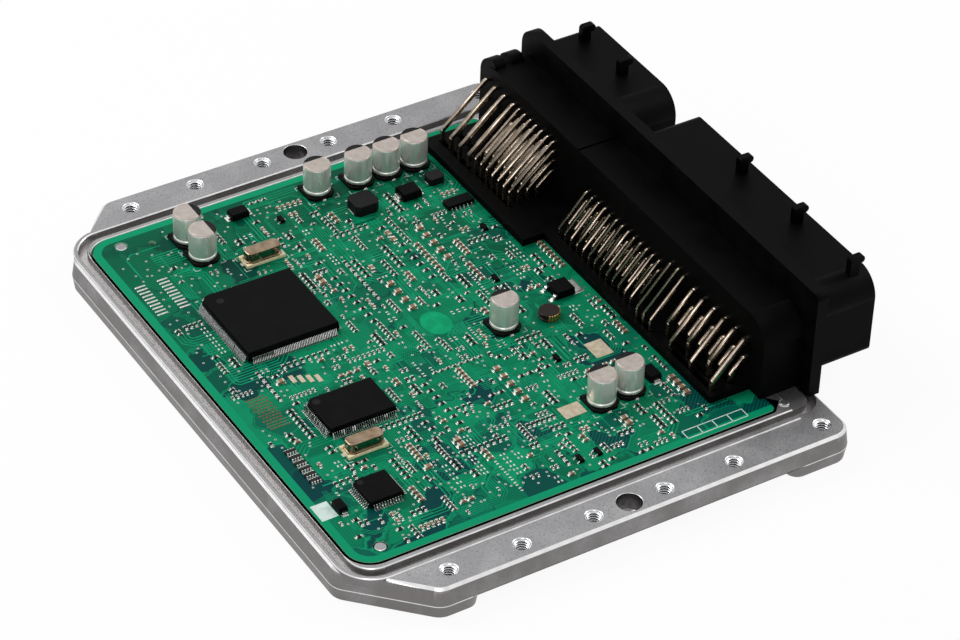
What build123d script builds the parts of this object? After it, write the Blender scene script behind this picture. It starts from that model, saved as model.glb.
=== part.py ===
"""Engine control unit: cast base, populated board and a two-bay pin header, shown with its lid off.

The origin lies in the flat underside, midway between the two large flange holes.
+X runs along the header from the small bay to the large bay, +Y points out of the
connector bays and +Z is up. All sizes are in millimetres.
"""

from build123d import *
from math import atan, degrees
import os

os.makedirs("parts", exist_ok=True)

# Pin fields, counted from the small end of the header
pin_side = 0.7
power_pin_side = 1.05
pin_pitch = 3.03
middle_pitch = 3.25
power_pitch = 4.86
row_pitch = 3.3
leg_pitch = 3.0
small_power_columns = 4
small_columns = 7
small_rows = 4
large_columns = 13
large_rows = 3
middle_columns = 3
large_power_columns = 6
power_to_signal = 3.22
signal_to_middle = 5.74
middle_to_power = 4.5
small_margins = (2.8, 3.62)
large_margins = (4.6, 4.2)

# Bays and block, as wide as their pin fields ask
bay_gap = 10.0
small_end_reach = 0.2
large_end_margin = 3.6
small_field = (small_power_columns - 1) * power_pitch + power_to_signal + (small_columns - 1) * pin_pitch
large_field = (
    (large_columns - 1) * pin_pitch
    + signal_to_middle
    + (middle_columns - 1) * middle_pitch
    + middle_to_power
    + (large_power_columns - 1) * power_pitch
)
small_bay_width = small_field + sum(small_margins)
large_bay_width = large_field + sum(large_margins)
block_half = (small_bay_width + bay_gap + large_bay_width + large_end_margin - small_end_reach) / 2
small_bay_x = (-block_half - small_end_reach, -block_half - small_end_reach + small_bay_width)
large_bay_x = (block_half - large_end_margin - large_bay_width, block_half - large_end_margin)

# Header lengths, counted from the sealing flange
flange_rear_y = 64.8
flange_thickness = 3.5
block_depth = 12.3
bay_floor_depth = 3.3
bay_length = 22.9
flange_height = 33.6
flange_corner_r = 6.0
bay_rise = -0.8
bay_height = 25.5
bay_corner_r = 7.5
bay_wall = 1.8
block_rear_y = flange_rear_y - block_depth
bay_floor_y = flange_rear_y - bay_floor_depth
flange_front_y = flange_rear_y + flange_thickness
bay_mouth_y = flange_front_y + bay_length
flange_left_x = -block_half + 0.7
flange_right_x = block_half + 5.0
end_rib_reach = 2.0
end_rib_width = 3.7
end_rib_y = (block_rear_y + 3.9, block_rear_y + 9.9)
block_notch_x = large_bay_x[0] - 1.7
block_notch_size = 0.8
key_rib_width = 1.2
key_rib_height = 2.0
key_rib_share = 0.3
tongue_depth = 1.1
tongue_clearance = 0.3
hook_width = 2.0
hook_depth = 3.0
hook_head = 2.2
hook_reach = 1.5
hook_height = 5.2
hook_root = 1.2
small_hook_y = bay_mouth_y - 9.2
large_hook_y = bay_mouth_y - 6.2
small_hooks_x = [small_bay_x[0] + shift for shift in (4.5, 24.3)]
large_hooks_x = [large_bay_x[0] + shift for shift in (28.0, 54.3, 80.1)]
pin_tip_y = bay_mouth_y - 9.2
pin_exit_y = block_rear_y - 0.8
pin_below_board = 1.2
plate_height = 2.4
plate_left_x = -block_half - 1.0
plate_step_x = large_bay_x[0] + 1.8
plate_right_x = block_half - 5.0
small_plate_rear_y = block_rear_y - 19.5
large_plate_rear_y = block_rear_y - 12.7
slot_clearance = 0.25

# Board, wider than the block by a margin at each end
board_side_margin = 5.5
board_overlap = 1.5
board_depth = 127.4
board_thickness = 1.6
board_rise = 0.5
board_gap = 0.5
board_rear_r = 7.0
board_front_r = 1.5
ledge_width = 4.5
front_ledge_width = 3.2
board_half = block_half + board_side_margin
board_front_y = block_rear_y + board_overlap
board_rear_y = board_front_y - board_depth
pocket_half = board_half + board_gap
pocket_rear_y = board_rear_y - board_gap
pocket_front_y = board_front_y + board_gap
peg_x = board_half - 4.9
peg_y = board_rear_y + 8.9
peg_r = 1.7
peg_clearance = 0.2
peg_pad_side = 7.6
tooling_hole_r = 1.1
tooling_hole = (7.6 - board_half, board_rear_y + 17.1)
header_boss = (board_half - 1.3, board_front_y + 3.6)
header_boss_r = 1.4

# Seal groove round the board pocket and under the header, and the ribs beside it
groove_width = 2.5
groove_depth = 2.0
groove_rear_r = 9.5
groove_front_r = 6.0
side_rib_width = 1.6
rear_rib_width = 0.3
rib_width = 1.4
rib_height = 0.3
groove_outer_x = pocket_half + side_rib_width + groove_width
groove_rear_y = pocket_rear_y - rear_rib_width - groove_width
groove_front_y = flange_rear_y + 2.0

# Casting, outside the groove
side_land = 11.9
rear_land = 1.9
front_land = 0.7
corner_cut = 19.6
corner_r = 5.0
foot_height = 3.9
plate_thickness = 5.5
wall_draft = 0.8
edge_break = 0.7
foot_r = 4.0
floor_thickness = 2.6
half_width = groove_outer_x + side_land
rear_y = groove_rear_y - rear_land
front_y = groove_front_y + front_land
notch_depth = 10.0
notch_rear = rear_y + 31.6
notch_front = front_y - 19.5
rib_end_y = front_y - 9.5

# Flange holes
hole_x = half_width - 5.0
end_hole_x = half_width - 5.9
thread_core_r = 2.1
dowel_hole_r = 3.5
near_hole_y = 10.9
far_hole_y = 32.6
rear_hole_y = rear_y + 25.0
front_hole_y = front_y - 6.1

# Derived levels
top_z = foot_height + plate_thickness
board_top = top_z + board_rise
board_bottom = board_top - board_thickness
groove_floor = top_z - groove_depth
pin_end_z = board_bottom - pin_below_board
draft_angle = degrees(atan(wall_draft / plate_thickness))
bay_bottom = top_z + bay_rise
bay_top = bay_bottom + bay_height


def facing_front(y):
    """Sketch plane across the header at the given Y; an extrusion from it runs to the rear."""
    return Plane.XZ.offset(-y)


def area_about_x(half_x, y_low, y_high, r_low, r_high):
    """Rectangle about X = 0 with one corner radius at its rear and one at its front."""
    with BuildSketch() as area:
        with Locations((0, (y_low + y_high) / 2)):
            Rectangle(2 * half_x, y_high - y_low)
        fillet(area.vertices().group_by(Axis.Y)[0], r_low)
        fillet(area.vertices().group_by(Axis.Y)[-1], r_high)
    return area.sketch


def wall_profile(x_low, x_high, z_low, z_high, r_left, r_right, r_low):
    """Upright section in local X and Z with its own radius at each top corner."""
    with BuildSketch() as area:
        with Locations(((x_low + x_high) / 2, (z_low + z_high) / 2)):
            Rectangle(x_high - x_low, z_high - z_low)
        fillet(area.vertices().group_by(Axis.Y)[-1].sort_by(Axis.X)[0], r_left)
        fillet(area.vertices().group_by(Axis.Y)[-1].sort_by(Axis.X)[-1], r_right)
        if r_low > 0:
            fillet(area.vertices().group_by(Axis.Y)[0], r_low)
    return area.sketch


# Casting outline: square corners at the connector end, cut corners at the rear
with BuildSketch() as casting_outline:
    with BuildLine():
        Polyline(
            (-half_width, front_y),
            (half_width, front_y),
            (half_width, rear_y + corner_cut),
            (half_width - corner_cut, rear_y),
            (corner_cut - half_width, rear_y),
            (-half_width, rear_y + corner_cut),
            close=True,
        )
    make_face()
    fillet(casting_outline.vertices(), corner_r)

parting_outline = offset(casting_outline.sketch, amount=wall_draft)

groove_outer = area_about_x(groove_outer_x, groove_rear_y, groove_front_y, groove_rear_r, groove_front_r)
groove_inner = area_about_x(
    groove_outer_x - groove_width,
    groove_rear_y + groove_width,
    groove_front_y - groove_width,
    groove_rear_r - groove_width,
    groove_front_r - groove_width,
)
lip_outer = area_about_x(
    groove_outer_x + rib_width,
    groove_rear_y - rib_width,
    groove_front_y,
    groove_rear_r + rib_width,
    groove_front_r,
)
pocket_area = area_about_x(
    pocket_half, pocket_rear_y, pocket_front_y, board_rear_r + board_gap, board_front_r + board_gap
)

# Base casting
with BuildPart() as base_casting:
    with BuildSketch(Plane.XY.offset(foot_height)):
        add(parting_outline)
    extrude(amount=plate_thickness, taper=draft_angle)
    chamfer(base_casting.edges().group_by(Axis.Z)[-1], edge_break)

    # Pan and feet below the flange plate, open under the long sides
    notch_length = notch_front - notch_rear
    with BuildSketch(Plane.XY.offset(foot_height)) as lower_area:
        add(parting_outline)
        with Locations(
            (half_width, (notch_front + notch_rear) / 2),
            (-half_width, (notch_front + notch_rear) / 2),
        ):
            Rectangle(2 * notch_depth, notch_length, mode=Mode.SUBTRACT)
        side_corners = lower_area.vertices().filter_by_position(Axis.Y, notch_rear - 0.1, notch_front + 0.1)
        fillet(side_corners, foot_r)
    extrude(amount=-foot_height, taper=draft_angle)

    # Seal groove with a low rib on each side, both ending at the header
    with BuildSketch(Plane.XY.offset(top_z)):
        add(lip_outer)
        add(groove_outer, mode=Mode.SUBTRACT)
        with Locations((0, rib_end_y)):
            Rectangle(3 * half_width, half_width, align=(Align.CENTER, Align.MIN), mode=Mode.SUBTRACT)
    extrude(amount=rib_height)
    with BuildSketch(Plane.XY.offset(top_z)):
        add(groove_inner)
        with Locations((0, rib_end_y)):
            Rectangle(3 * half_width, half_width, align=(Align.CENTER, Align.MIN), mode=Mode.SUBTRACT)
    extrude(amount=rib_height)
    with BuildSketch(Plane.XY.offset(top_z)):
        add(groove_outer)
        add(groove_inner, mode=Mode.SUBTRACT)
    extrude(amount=-groove_depth, mode=Mode.SUBTRACT)

    # Board pocket, then the open space below the board
    with BuildSketch(Plane.XY.offset(board_bottom)):
        add(pocket_area)
    extrude(amount=board_thickness + rib_height, mode=Mode.SUBTRACT)
    cavity_rear_y = pocket_rear_y + ledge_width
    cavity_front_y = pocket_front_y - front_ledge_width
    with BuildSketch(Plane.XY.offset(floor_thickness)):
        with Locations((0, (cavity_rear_y + cavity_front_y) / 2)):
            Rectangle(2 * (pocket_half - ledge_width), cavity_front_y - cavity_rear_y)
    extrude(amount=board_bottom - floor_thickness, mode=Mode.SUBTRACT)

    # Board pegs on pads, and the boss beside the large end of the header
    with BuildSketch(Plane.XY.offset(floor_thickness)):
        with Locations((peg_x, peg_y), (-peg_x, peg_y)):
            Rectangle(peg_pad_side, peg_pad_side)
    extrude(amount=board_bottom - floor_thickness)
    with BuildSketch(Plane.XY.offset(board_bottom)):
        with Locations((peg_x, peg_y), (-peg_x, peg_y)):
            Circle(peg_r)
    extrude(amount=board_thickness)
    with BuildSketch(Plane.XY.offset(top_z)):
        with Locations(header_boss):
            Circle(header_boss_r)
    extrude(amount=board_rise)

    # Tapped flange holes, and the two large plain holes
    threaded_places = [(side * hole_x, y) for side in (-1, 1) for y in (-far_hole_y, -near_hole_y)]
    threaded_places += [(side * hole_x, y) for side in (-1, 1) for y in (near_hole_y, far_hole_y)]
    threaded_places += [(side * end_hole_x, y) for side in (-1, 1) for y in (rear_hole_y, front_hole_y)]
    with Locations(Plane.XY.offset(top_z)):
        with Locations(*threaded_places):
            Hole(radius=thread_core_r, depth=top_z)
        with Locations((-hole_x, 0), (hole_x, 0)):
            Hole(radius=dowel_hole_r, depth=top_z)
base_casting.part.label = "base_casting"
export_step(base_casting.part, "parts/base_casting.step")


# Header pins: each bay has rows of thin signal pins and rows of stouter power pins
class PinRow:
    """One row of bent pins: their X places, exit height, board leg and section."""

    def __init__(self, places, z, leg_y, fall, side):
        self.places = places
        self.z = z + top_z
        self.leg_y = leg_y
        self.fall = fall
        self.side = side


small_fall = 0.9
large_fall = 1.12
small_row_z = 20.0
large_row_z = 14.4
middle_z = 17.7
small_power_z = (19.6, 13.0)
large_power_z = 15.9
lower_power_z = 9.6
small_leg_y = block_rear_y - 14.5
large_leg_y = block_rear_y - 9.1
middle_leg_y = block_rear_y - 10.9
small_power_leg_y = (block_rear_y - 14.9, block_rear_y - 8.9)
large_power_leg_y = (block_rear_y - 8.1, block_rear_y - 10.5)
lower_power_leg_y = block_rear_y - 4.5


def column_places(first_x, pitch, count):
    """X of each column of a pin field."""
    return [first_x + i * pitch for i in range(count)]


small_power_x = column_places(small_bay_x[0] + small_margins[0], power_pitch, small_power_columns)
small_signal_x = column_places(small_power_x[-1] + power_to_signal, pin_pitch, small_columns)
large_signal_x = column_places(large_bay_x[0] + large_margins[0], pin_pitch, large_columns)
middle_places = column_places(large_signal_x[-1] + signal_to_middle, middle_pitch, middle_columns)
large_power_x = column_places(middle_places[-1] + middle_to_power, power_pitch, large_power_columns)

small_signal_rows = [
    PinRow(small_signal_x, small_row_z - i * row_pitch, small_leg_y + i * leg_pitch, small_fall, pin_side)
    for i in range(small_rows)
]
small_power_rows = [
    PinRow(small_power_x, z, leg_y, small_fall, power_pin_side)
    for z, leg_y in zip(small_power_z, small_power_leg_y)
]
large_signal_rows = [
    PinRow(large_signal_x, large_row_z - i * row_pitch, large_leg_y + i * leg_pitch, large_fall, pin_side)
    for i in range(large_rows)
]
large_signal_rows.append(PinRow(middle_places, middle_z, middle_leg_y, large_fall, pin_side))
large_power_rows = [
    PinRow(large_power_x[i::2], large_power_z, large_power_leg_y[i], large_fall, power_pin_side)
    for i in range(2)
]
large_power_rows.append(PinRow(large_power_x, lower_power_z, lower_power_leg_y, large_fall, power_pin_side))
all_rows = small_signal_rows + small_power_rows + large_signal_rows + large_power_rows


def bent_pin(row):
    """Square pin at X = 0: along the bay, through the wall, down a slope and into the board."""
    slope_foot_z = row.z - row.fall * (pin_exit_y - row.leg_y)
    with BuildPart() as pin:
        with BuildLine() as path:
            Polyline(
                (0, pin_tip_y, row.z),
                (0, pin_exit_y, row.z),
                (0, row.leg_y, slope_foot_z),
                (0, row.leg_y, pin_end_z),
            )
        with BuildSketch(Plane(origin=path.wire() @ 0, x_dir=(1, 0, 0), z_dir=path.wire() % 0)):
            Rectangle(row.side, row.side)
        sweep(transition=Transition.RIGHT)
    return pin.part


def pin_group(rows, name):
    """All pins of some rows as one group of separate solids."""
    patterns = [(row, bent_pin(row)) for row in rows]
    with BuildPart() as pins:
        for row, pattern in patterns:
            with Locations(*[(x, 0, 0) for x in row.places]):
                add(pattern)
    pins.part.label = name
    export_step(pins.part, f"parts/{name}.step")


pin_group(small_signal_rows, "small_bay_signal_pins")
pin_group(small_power_rows, "small_bay_power_pins")
pin_group(large_signal_rows, "large_bay_signal_pins")
pin_group(large_power_rows, "large_bay_power_pins")

# Header housing: pin block, sealing flange and two open bays in one moulding
block_profile = wall_profile(
    -block_half, block_half, board_top, bay_top, flange_corner_r, bay_corner_r, 0
)
flange_profile = wall_profile(
    flange_left_x, flange_right_x, top_z, top_z + flange_height, flange_corner_r, bay_wall, 0
)
rib_profile = wall_profile(
    -block_half - end_rib_reach,
    -block_half + flange_corner_r,
    board_top,
    bay_top + end_rib_reach,
    flange_corner_r,
    end_rib_reach,
    0,
)


def bay_profile(bay_x, inset):
    """Section of a bay: sharp at its top left, well rounded at its top right."""
    return wall_profile(
        bay_x[0] + inset,
        bay_x[1] - inset,
        bay_bottom + inset,
        bay_top - inset,
        bay_wall + 0.3 - inset,
        bay_corner_r - inset,
        bay_wall + 0.3 - inset,
    )


with BuildPart() as header_housing:
    with BuildSketch(facing_front(flange_rear_y)):
        add(block_profile)
    extrude(amount=flange_rear_y - block_rear_y)
    with BuildSketch(facing_front(flange_front_y)):
        add(flange_profile)
    extrude(amount=flange_thickness)
    for bay_x in (small_bay_x, large_bay_x):
        outer_bay = bay_profile(bay_x, 0)
        with BuildSketch(facing_front(bay_mouth_y)):
            add(outer_bay)
        extrude(amount=bay_length)

    # Two ribs wrap the small end of the block
    for rib_y in end_rib_y:
        with BuildSketch(facing_front(rib_y)):
            add(rib_profile)
        extrude(amount=end_rib_width)

    # Bay hollows reach through the flange into the block, each with two coding ribs
    for bay_x in (small_bay_x, large_bay_x):
        hollow = bay_profile(bay_x, bay_wall)
        with BuildSketch(facing_front(bay_mouth_y)):
            add(hollow)
            key_shift = key_rib_share * (bay_x[1] - bay_x[0])
            with Locations(
                (bay_x[0] + key_shift, bay_bottom + bay_wall),
                (bay_x[1] - key_shift, bay_bottom + bay_wall),
            ):
                Rectangle(key_rib_width, 2 * key_rib_height, mode=Mode.SUBTRACT)
        extrude(amount=bay_mouth_y - bay_floor_y, mode=Mode.SUBTRACT)

    # Square passages that hold the pins in the rear wall
    for row in all_rows:
        with BuildSketch(facing_front(bay_floor_y)):
            with Locations(*[(x, row.z) for x in row.places]):
                Rectangle(row.side, row.side)
        extrude(amount=bay_floor_y - block_rear_y, mode=Mode.SUBTRACT)

    # Sink mark line across the top between the two pin fields
    with BuildSketch(facing_front(flange_rear_y)):
        with Locations((block_notch_x, bay_top)):
            Rectangle(block_notch_size, 2 * block_notch_size)
    extrude(amount=flange_rear_y - block_rear_y, mode=Mode.SUBTRACT)

    # Tongue below the flange, standing in the casting's seal groove
    tongue_width = groove_width - 2 * tongue_clearance
    tongue_front_y = groove_front_y - tongue_clearance
    with BuildSketch(Plane.XY.offset(top_z)):
        with Locations((0, tongue_front_y)):
            Rectangle(2 * block_half - groove_front_r, tongue_width, align=(Align.CENTER, Align.MAX))
    extrude(amount=-tongue_depth)

    # Latch hooks on the roof of each bay, heads facing the mouth
    hook_places = [(x, small_hook_y) for x in small_hooks_x] + [(x, large_hook_y) for x in large_hooks_x]
    for x, y in hook_places:
        with BuildSketch(Plane.YZ.offset(x)):
            with Locations((y, bay_top - hook_root)):
                Rectangle(hook_depth, hook_root + hook_height, align=(Align.MIN, Align.MIN))
            with Locations((y, bay_top + hook_height)):
                Rectangle(hook_depth + hook_reach, hook_head, align=(Align.MIN, Align.MAX))
        extrude(amount=hook_width)
header_housing.part.label = "header_housing"
export_step(header_housing.part, "parts/header_housing.step")

# Seal bead in the groove under the header's tongue
with BuildPart() as header_seal:
    with BuildSketch(Plane.XY.offset(groove_floor)):
        with Locations((0, groove_front_y)):
            Rectangle(2 * block_half - groove_front_r, groove_width, align=(Align.CENTER, Align.MAX))
    extrude(amount=groove_depth - tongue_depth)
header_seal.part.label = "header_seal"
export_step(header_seal.part, "parts/header_seal.step")

# One slot for each row of legs, through the locator plate and the board below it
with BuildSketch() as slot_area:
    for row in all_rows:
        slot_side = row.side + 2 * slot_clearance
        slot_length = row.places[-1] - row.places[0] + slot_side
        slot_x = (row.places[0] + row.places[-1]) / 2
        with Locations((slot_x, row.leg_y)):
            Rectangle(slot_length, slot_side)
leg_slots = slot_area.sketch

# Locator plate: keeps the pin legs in line
with BuildPart() as locator_plate:
    with BuildSketch(Plane.XY.offset(board_top)):
        with BuildLine():
            Polyline(
                (plate_left_x, block_rear_y),
                (plate_left_x, small_plate_rear_y),
                (plate_step_x, small_plate_rear_y),
                (plate_step_x, large_plate_rear_y),
                (plate_right_x, large_plate_rear_y),
                (plate_right_x, block_rear_y),
                close=True,
            )
        make_face()
    extrude(amount=plate_height)
    with BuildSketch(Plane.XY.offset(board_top)):
        add(leg_slots)
    extrude(amount=plate_height, mode=Mode.SUBTRACT)
locator_plate.part.label = "locator_plate"
export_step(locator_plate.part, "parts/locator_plate.step")

# Circuit board
board_area = area_about_x(board_half, board_rear_y, board_front_y, board_rear_r, board_front_r)
with BuildPart() as circuit_board:
    with BuildSketch(Plane.XY.offset(board_bottom)):
        add(board_area)
        with Locations((peg_x, peg_y), (-peg_x, peg_y)):
            Circle(peg_r + peg_clearance, mode=Mode.SUBTRACT)
        with Locations(tooling_hole):
            Circle(tooling_hole_r, mode=Mode.SUBTRACT)
        add(leg_slots, mode=Mode.SUBTRACT)
    extrude(amount=board_thickness)
circuit_board.part.label = "circuit_board"
export_step(circuit_board.part, "parts/circuit_board.step")


def on_board(share_x, share_y):
    """Place given as a share of the board's half width from its middle, and of its depth from its rear."""
    return (share_x * board_half, board_rear_y + share_y * board_depth)


def behind_plate(share_x, length, clearance):
    """Place behind the small bay's stretch of the locator plate, for a part of the given length."""
    return (share_x * board_half, small_plate_rear_y - clearance - length / 2)


# Gull-wing packages
class Package:
    """Moulded package on the board with leads on two or four sides."""

    def __init__(self, name, centre, size, height, pitch, lead_width, counts):
        self.name = name
        self.centre = centre
        self.size = size
        self.height = height
        self.pitch = pitch
        self.lead_width = lead_width
        self.counts = counts


stand_off = 0.15
lead_reach = 1.1
lead_foot = 0.5
body_draft = 8.0
body_chamfer = 1.6

interface_size = (3.9, 8.6)
interface_clearance = 1.097

processor_place = on_board(-0.2967, 0.2268)
memory_place = on_board(0.2837, 0.2268)
driver_place = on_board(0.6967, 0.1468)
interface_place = behind_plate(-0.5621, interface_size[1], interface_clearance)
processor = Package("processor", processor_place, (28.0, 28.0), 3.6, 0.5, 0.22, (52, 52))
memory_chip = Package("memory_chip", memory_place, (14.0, 20.0), 2.9, 0.65, 0.3, (20, 30))
driver_chip = Package("driver_chip", driver_place, (10.0, 10.0), 2.2, 0.8, 0.37, (11, 11))
interface_chip = Package("interface_chip", interface_place, interface_size, 1.6, 1.27, 0.42, (0, 6))


def package_body(package):
    """Body with a parting line at half height and one cut corner."""
    half_height = (package.height - stand_off) / 2
    parting_z = board_top + stand_off + half_height
    with BuildSketch() as outline:
        with Locations(package.centre):
            Rectangle(*package.size)
        first_corner = outline.vertices().group_by(Axis.Y)[0].sort_by(Axis.X)[0]
        chamfer(first_corner, min(body_chamfer, package.size[0] / 10))
    with BuildPart() as body:
        with BuildSketch(Plane.XY.offset(parting_z)):
            add(outline.sketch)
        extrude(amount=half_height, taper=body_draft)
        with BuildSketch(Plane.XY.offset(parting_z)):
            add(outline.sketch)
        extrude(amount=-half_height, taper=body_draft)
    body.part.label = package.name
    export_step(body.part, f"parts/{package.name}.step")


def package_leads(package):
    """Sloping leads of four faces each, from the body's parting line out to a foot on the board."""
    lead_root = Vertex(0, 0, board_top + package.height / 2)
    with BuildSketch(Plane.XY.offset(board_top)) as foot:
        with BuildLine():
            Polyline(
                (-package.lead_width / 2, lead_reach),
                (package.lead_width / 2, lead_reach),
                (0, lead_reach - lead_foot),
                close=True,
            )
        make_face()
    with BuildPart() as lead:
        loft(sections=[foot.sketch.face(), lead_root])
    half_x = package.size[0] / 2
    half_y = package.size[1] / 2
    count_x, count_y = package.counts
    sides = [(0, half_y, count_x), (90, half_x, count_y), (180, half_y, count_x), (270, half_x, count_y)]
    with BuildPart() as leads:
        for angle, reach, count in sides:
            if count:
                with Locations(Location((*package.centre, 0), (0, 0, angle))):
                    with Locations((0, reach)):
                        with GridLocations(package.pitch, 1, count, 1):
                            add(lead.part)
    leads.part.label = package.name + "_leads"
    export_step(leads.part, f"parts/{package.name}_leads.step")


for package in (processor, memory_chip, driver_chip, interface_chip):
    package_body(package)
    package_leads(package)

# Electrolytic capacitors: square base, plain can, two tinned tabs
can_r = 4.0
can_height = 8.9
base_side = 8.3
base_height = 1.3
base_cut = 1.7
tab_length = 0.3
tab_width = 1.0
tab_height = 0.35
can_sides = 28
capacitor_clearance = 2.3556
capacitor_places = [
    on_board(-0.8510, 0.2064),
    on_board(-0.7333, 0.2064),
    on_board(-0.8797, 0.5408),
    on_board(-0.8667, 0.6413),
    on_board(-0.8641, 0.7135),
    behind_plate(-0.8601, base_side, capacitor_clearance),
    on_board(0.1438, 0.6507),
    on_board(0.6706, 0.6939),
    on_board(0.6588, 0.7661),
]

with BuildPart() as capacitor_bases:
    with BuildSketch(Plane.XY.offset(board_top)):
        with Locations(*capacitor_places):
            with BuildSketch(mode=Mode.PRIVATE) as base_outline:
                Rectangle(base_side, base_side)
                chamfer(base_outline.vertices().group_by(Axis.X)[-1], base_cut)
            add(base_outline.sketch)
    extrude(amount=base_height)
capacitor_bases.part.label = "capacitor_bases"
export_step(capacitor_bases.part, "parts/capacitor_bases.step")

with BuildPart() as capacitor_cans:
    with BuildSketch(Plane.XY.offset(board_top + base_height)):
        with Locations(*capacitor_places):
            RegularPolygon(radius=can_r, side_count=can_sides)
    extrude(amount=can_height)
capacitor_cans.part.label = "capacitor_cans"
export_step(capacitor_cans.part, "parts/capacitor_cans.step")

with BuildPart() as capacitor_tabs:
    tab_x = (base_side + tab_length) / 2
    with BuildSketch(Plane.XY.offset(board_top)):
        with Locations(*capacitor_places):
            with Locations((-tab_x, 0), (tab_x, 0)):
                Rectangle(tab_length, tab_width)
    extrude(amount=tab_height)
capacitor_tabs.part.label = "capacitor_tabs"
export_step(capacitor_tabs.part, "parts/capacitor_tabs.step")

# Quartz crystals: long can in a stepped base
crystal_places = [on_board(-0.6261, 0.3179), on_board(0.4745, 0.1923)]
crystal_width = 5.4
crystal_length = 12.1
crystal_height = 3.0
crystal_base = 1.1
crystal_rim = 0.75
crystal_can_width = crystal_width - 2 * crystal_rim
crystal_can_length = crystal_length - 2 * crystal_rim
base_cut_share = 0.1
can_cut_share = 0.3


def crystal_outline(width, length, cut_share):
    """Long outline at each crystal's place, its rounded corners drawn as cut ones."""
    with BuildSketch() as outline:
        Rectangle(width, length)
        chamfer(outline.vertices(), width * cut_share)
    with BuildSketch() as outlines:
        with Locations(*crystal_places):
            add(outline.sketch)
    return outlines.sketch


with BuildPart() as crystal_bases:
    with BuildSketch(Plane.XY.offset(board_top)):
        add(crystal_outline(crystal_width, crystal_length, base_cut_share))
    extrude(amount=crystal_base)
crystal_bases.part.label = "crystal_bases"
export_step(crystal_bases.part, "parts/crystal_bases.step")

with BuildPart() as crystal_cans:
    with BuildSketch(Plane.XY.offset(board_top + crystal_base)):
        add(crystal_outline(crystal_can_width, crystal_can_length, can_cut_share))
    extrude(amount=crystal_height)
crystal_cans.part.label = "crystal_cans"
export_step(crystal_cans.part, "parts/crystal_cans.step")


def box_group(name, boxes):
    """Plain upright pieces on the board, each given as centre X, centre Y, size X, size Y, height."""
    with BuildPart() as group:
        for x, y, size_x, size_y, height in boxes:
            with Locations((x, y, board_top)):
                Box(size_x, size_y, height, align=(Align.CENTER, Align.CENTER, Align.MIN))
    group.part.label = name
    export_step(group.part, f"parts/{name}.step")


# Shielded inductors with cut corners
inductors = [(*on_board(-0.7085, 0.5997), 7.0, 7.6, 3.5), (*on_board(-0.7268, 0.7904), 4.2, 5.0, 2.4)]
with BuildPart() as inductor_bodies:
    for x, y, size_x, size_y, height in inductors:
        with BuildSketch(Plane.XY.offset(board_top)) as inductor_outline:
            with Locations((x, y)):
                Rectangle(size_x, size_y)
            chamfer(inductor_outline.vertices(), size_x / 6)
        extrude(amount=height)
inductor_bodies.part.label = "inductors"
export_step(inductor_bodies.part, "parts/inductors.step")

# Round choke beside the regulator
choke_centre = on_board(0.1725, 0.7543)
choke_r = 3.1
choke_height = 2.3
with BuildPart() as round_choke:
    with BuildSketch(Plane.XY.offset(board_top)):
        with Locations(choke_centre):
            RegularPolygon(radius=choke_r, side_count=can_sides)
    extrude(amount=choke_height)
round_choke.part.label = "round_choke"
export_step(round_choke.part, "parts/round_choke.step")

# Diodes and the filter block: dark body between two tinned ends
end_reach = 0.8
end_width_share = 0.5
end_height_share = 0.45
diodes_along_x = [
    (*on_board(0.6327, 0.8320), 5.4, 3.8, 2.2),
    (*on_board(0.7085, 0.0549), 4.4, 2.6, 2.0),
]
diodes_along_y = [
    (*on_board(-0.8915, 0.3454), 3.6, 5.6, 2.2),
    (*on_board(-0.6967, 0.7127), 5.2, 6.2, 2.6),
]
box_group("diode_bodies", diodes_along_x + diodes_along_y)

diode_ends = []
for x, y, size_x, size_y, height in diodes_along_x:
    shift = (size_x + end_reach) / 2
    for side in (-1, 1):
        diode_ends.append(
            (x + side * shift, y, end_reach, size_y * end_width_share, height * end_height_share)
        )
for x, y, size_x, size_y, height in diodes_along_y:
    shift = (size_y + end_reach) / 2
    for side in (-1, 1):
        diode_ends.append(
            (x, y + side * shift, size_x * end_width_share, end_reach, height * end_height_share)
        )
box_group("diode_ends", diode_ends)

# Voltage regulator: body, heat tab and two legs
regulator_x, regulator_y = on_board(0.0706, 0.8226)
regulator_side = 6.0
regulator_height = 2.3
regulator_tab = 2.4
regulator_leg = 1.9
regulator_leg_width = 0.9
regulator_leg_spacing = 4.5
metal_thickness = 0.6
box_group("regulator_body", [(regulator_x, regulator_y, regulator_side, regulator_side, regulator_height)])
regulator_tab_y = regulator_y + (regulator_side + regulator_tab) / 2
regulator_leg_y = regulator_y - (regulator_side + regulator_leg) / 2
regulator_metal = [
    (regulator_x, regulator_tab_y, regulator_side - 0.8, regulator_tab, metal_thickness),
    (
        regulator_x - regulator_leg_spacing / 2,
        regulator_leg_y,
        regulator_leg_width,
        regulator_leg,
        metal_thickness,
    ),
    (
        regulator_x + regulator_leg_spacing / 2,
        regulator_leg_y,
        regulator_leg_width,
        regulator_leg,
        metal_thickness,
    ),
]
box_group("regulator_tab_and_legs", regulator_metal)

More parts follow.
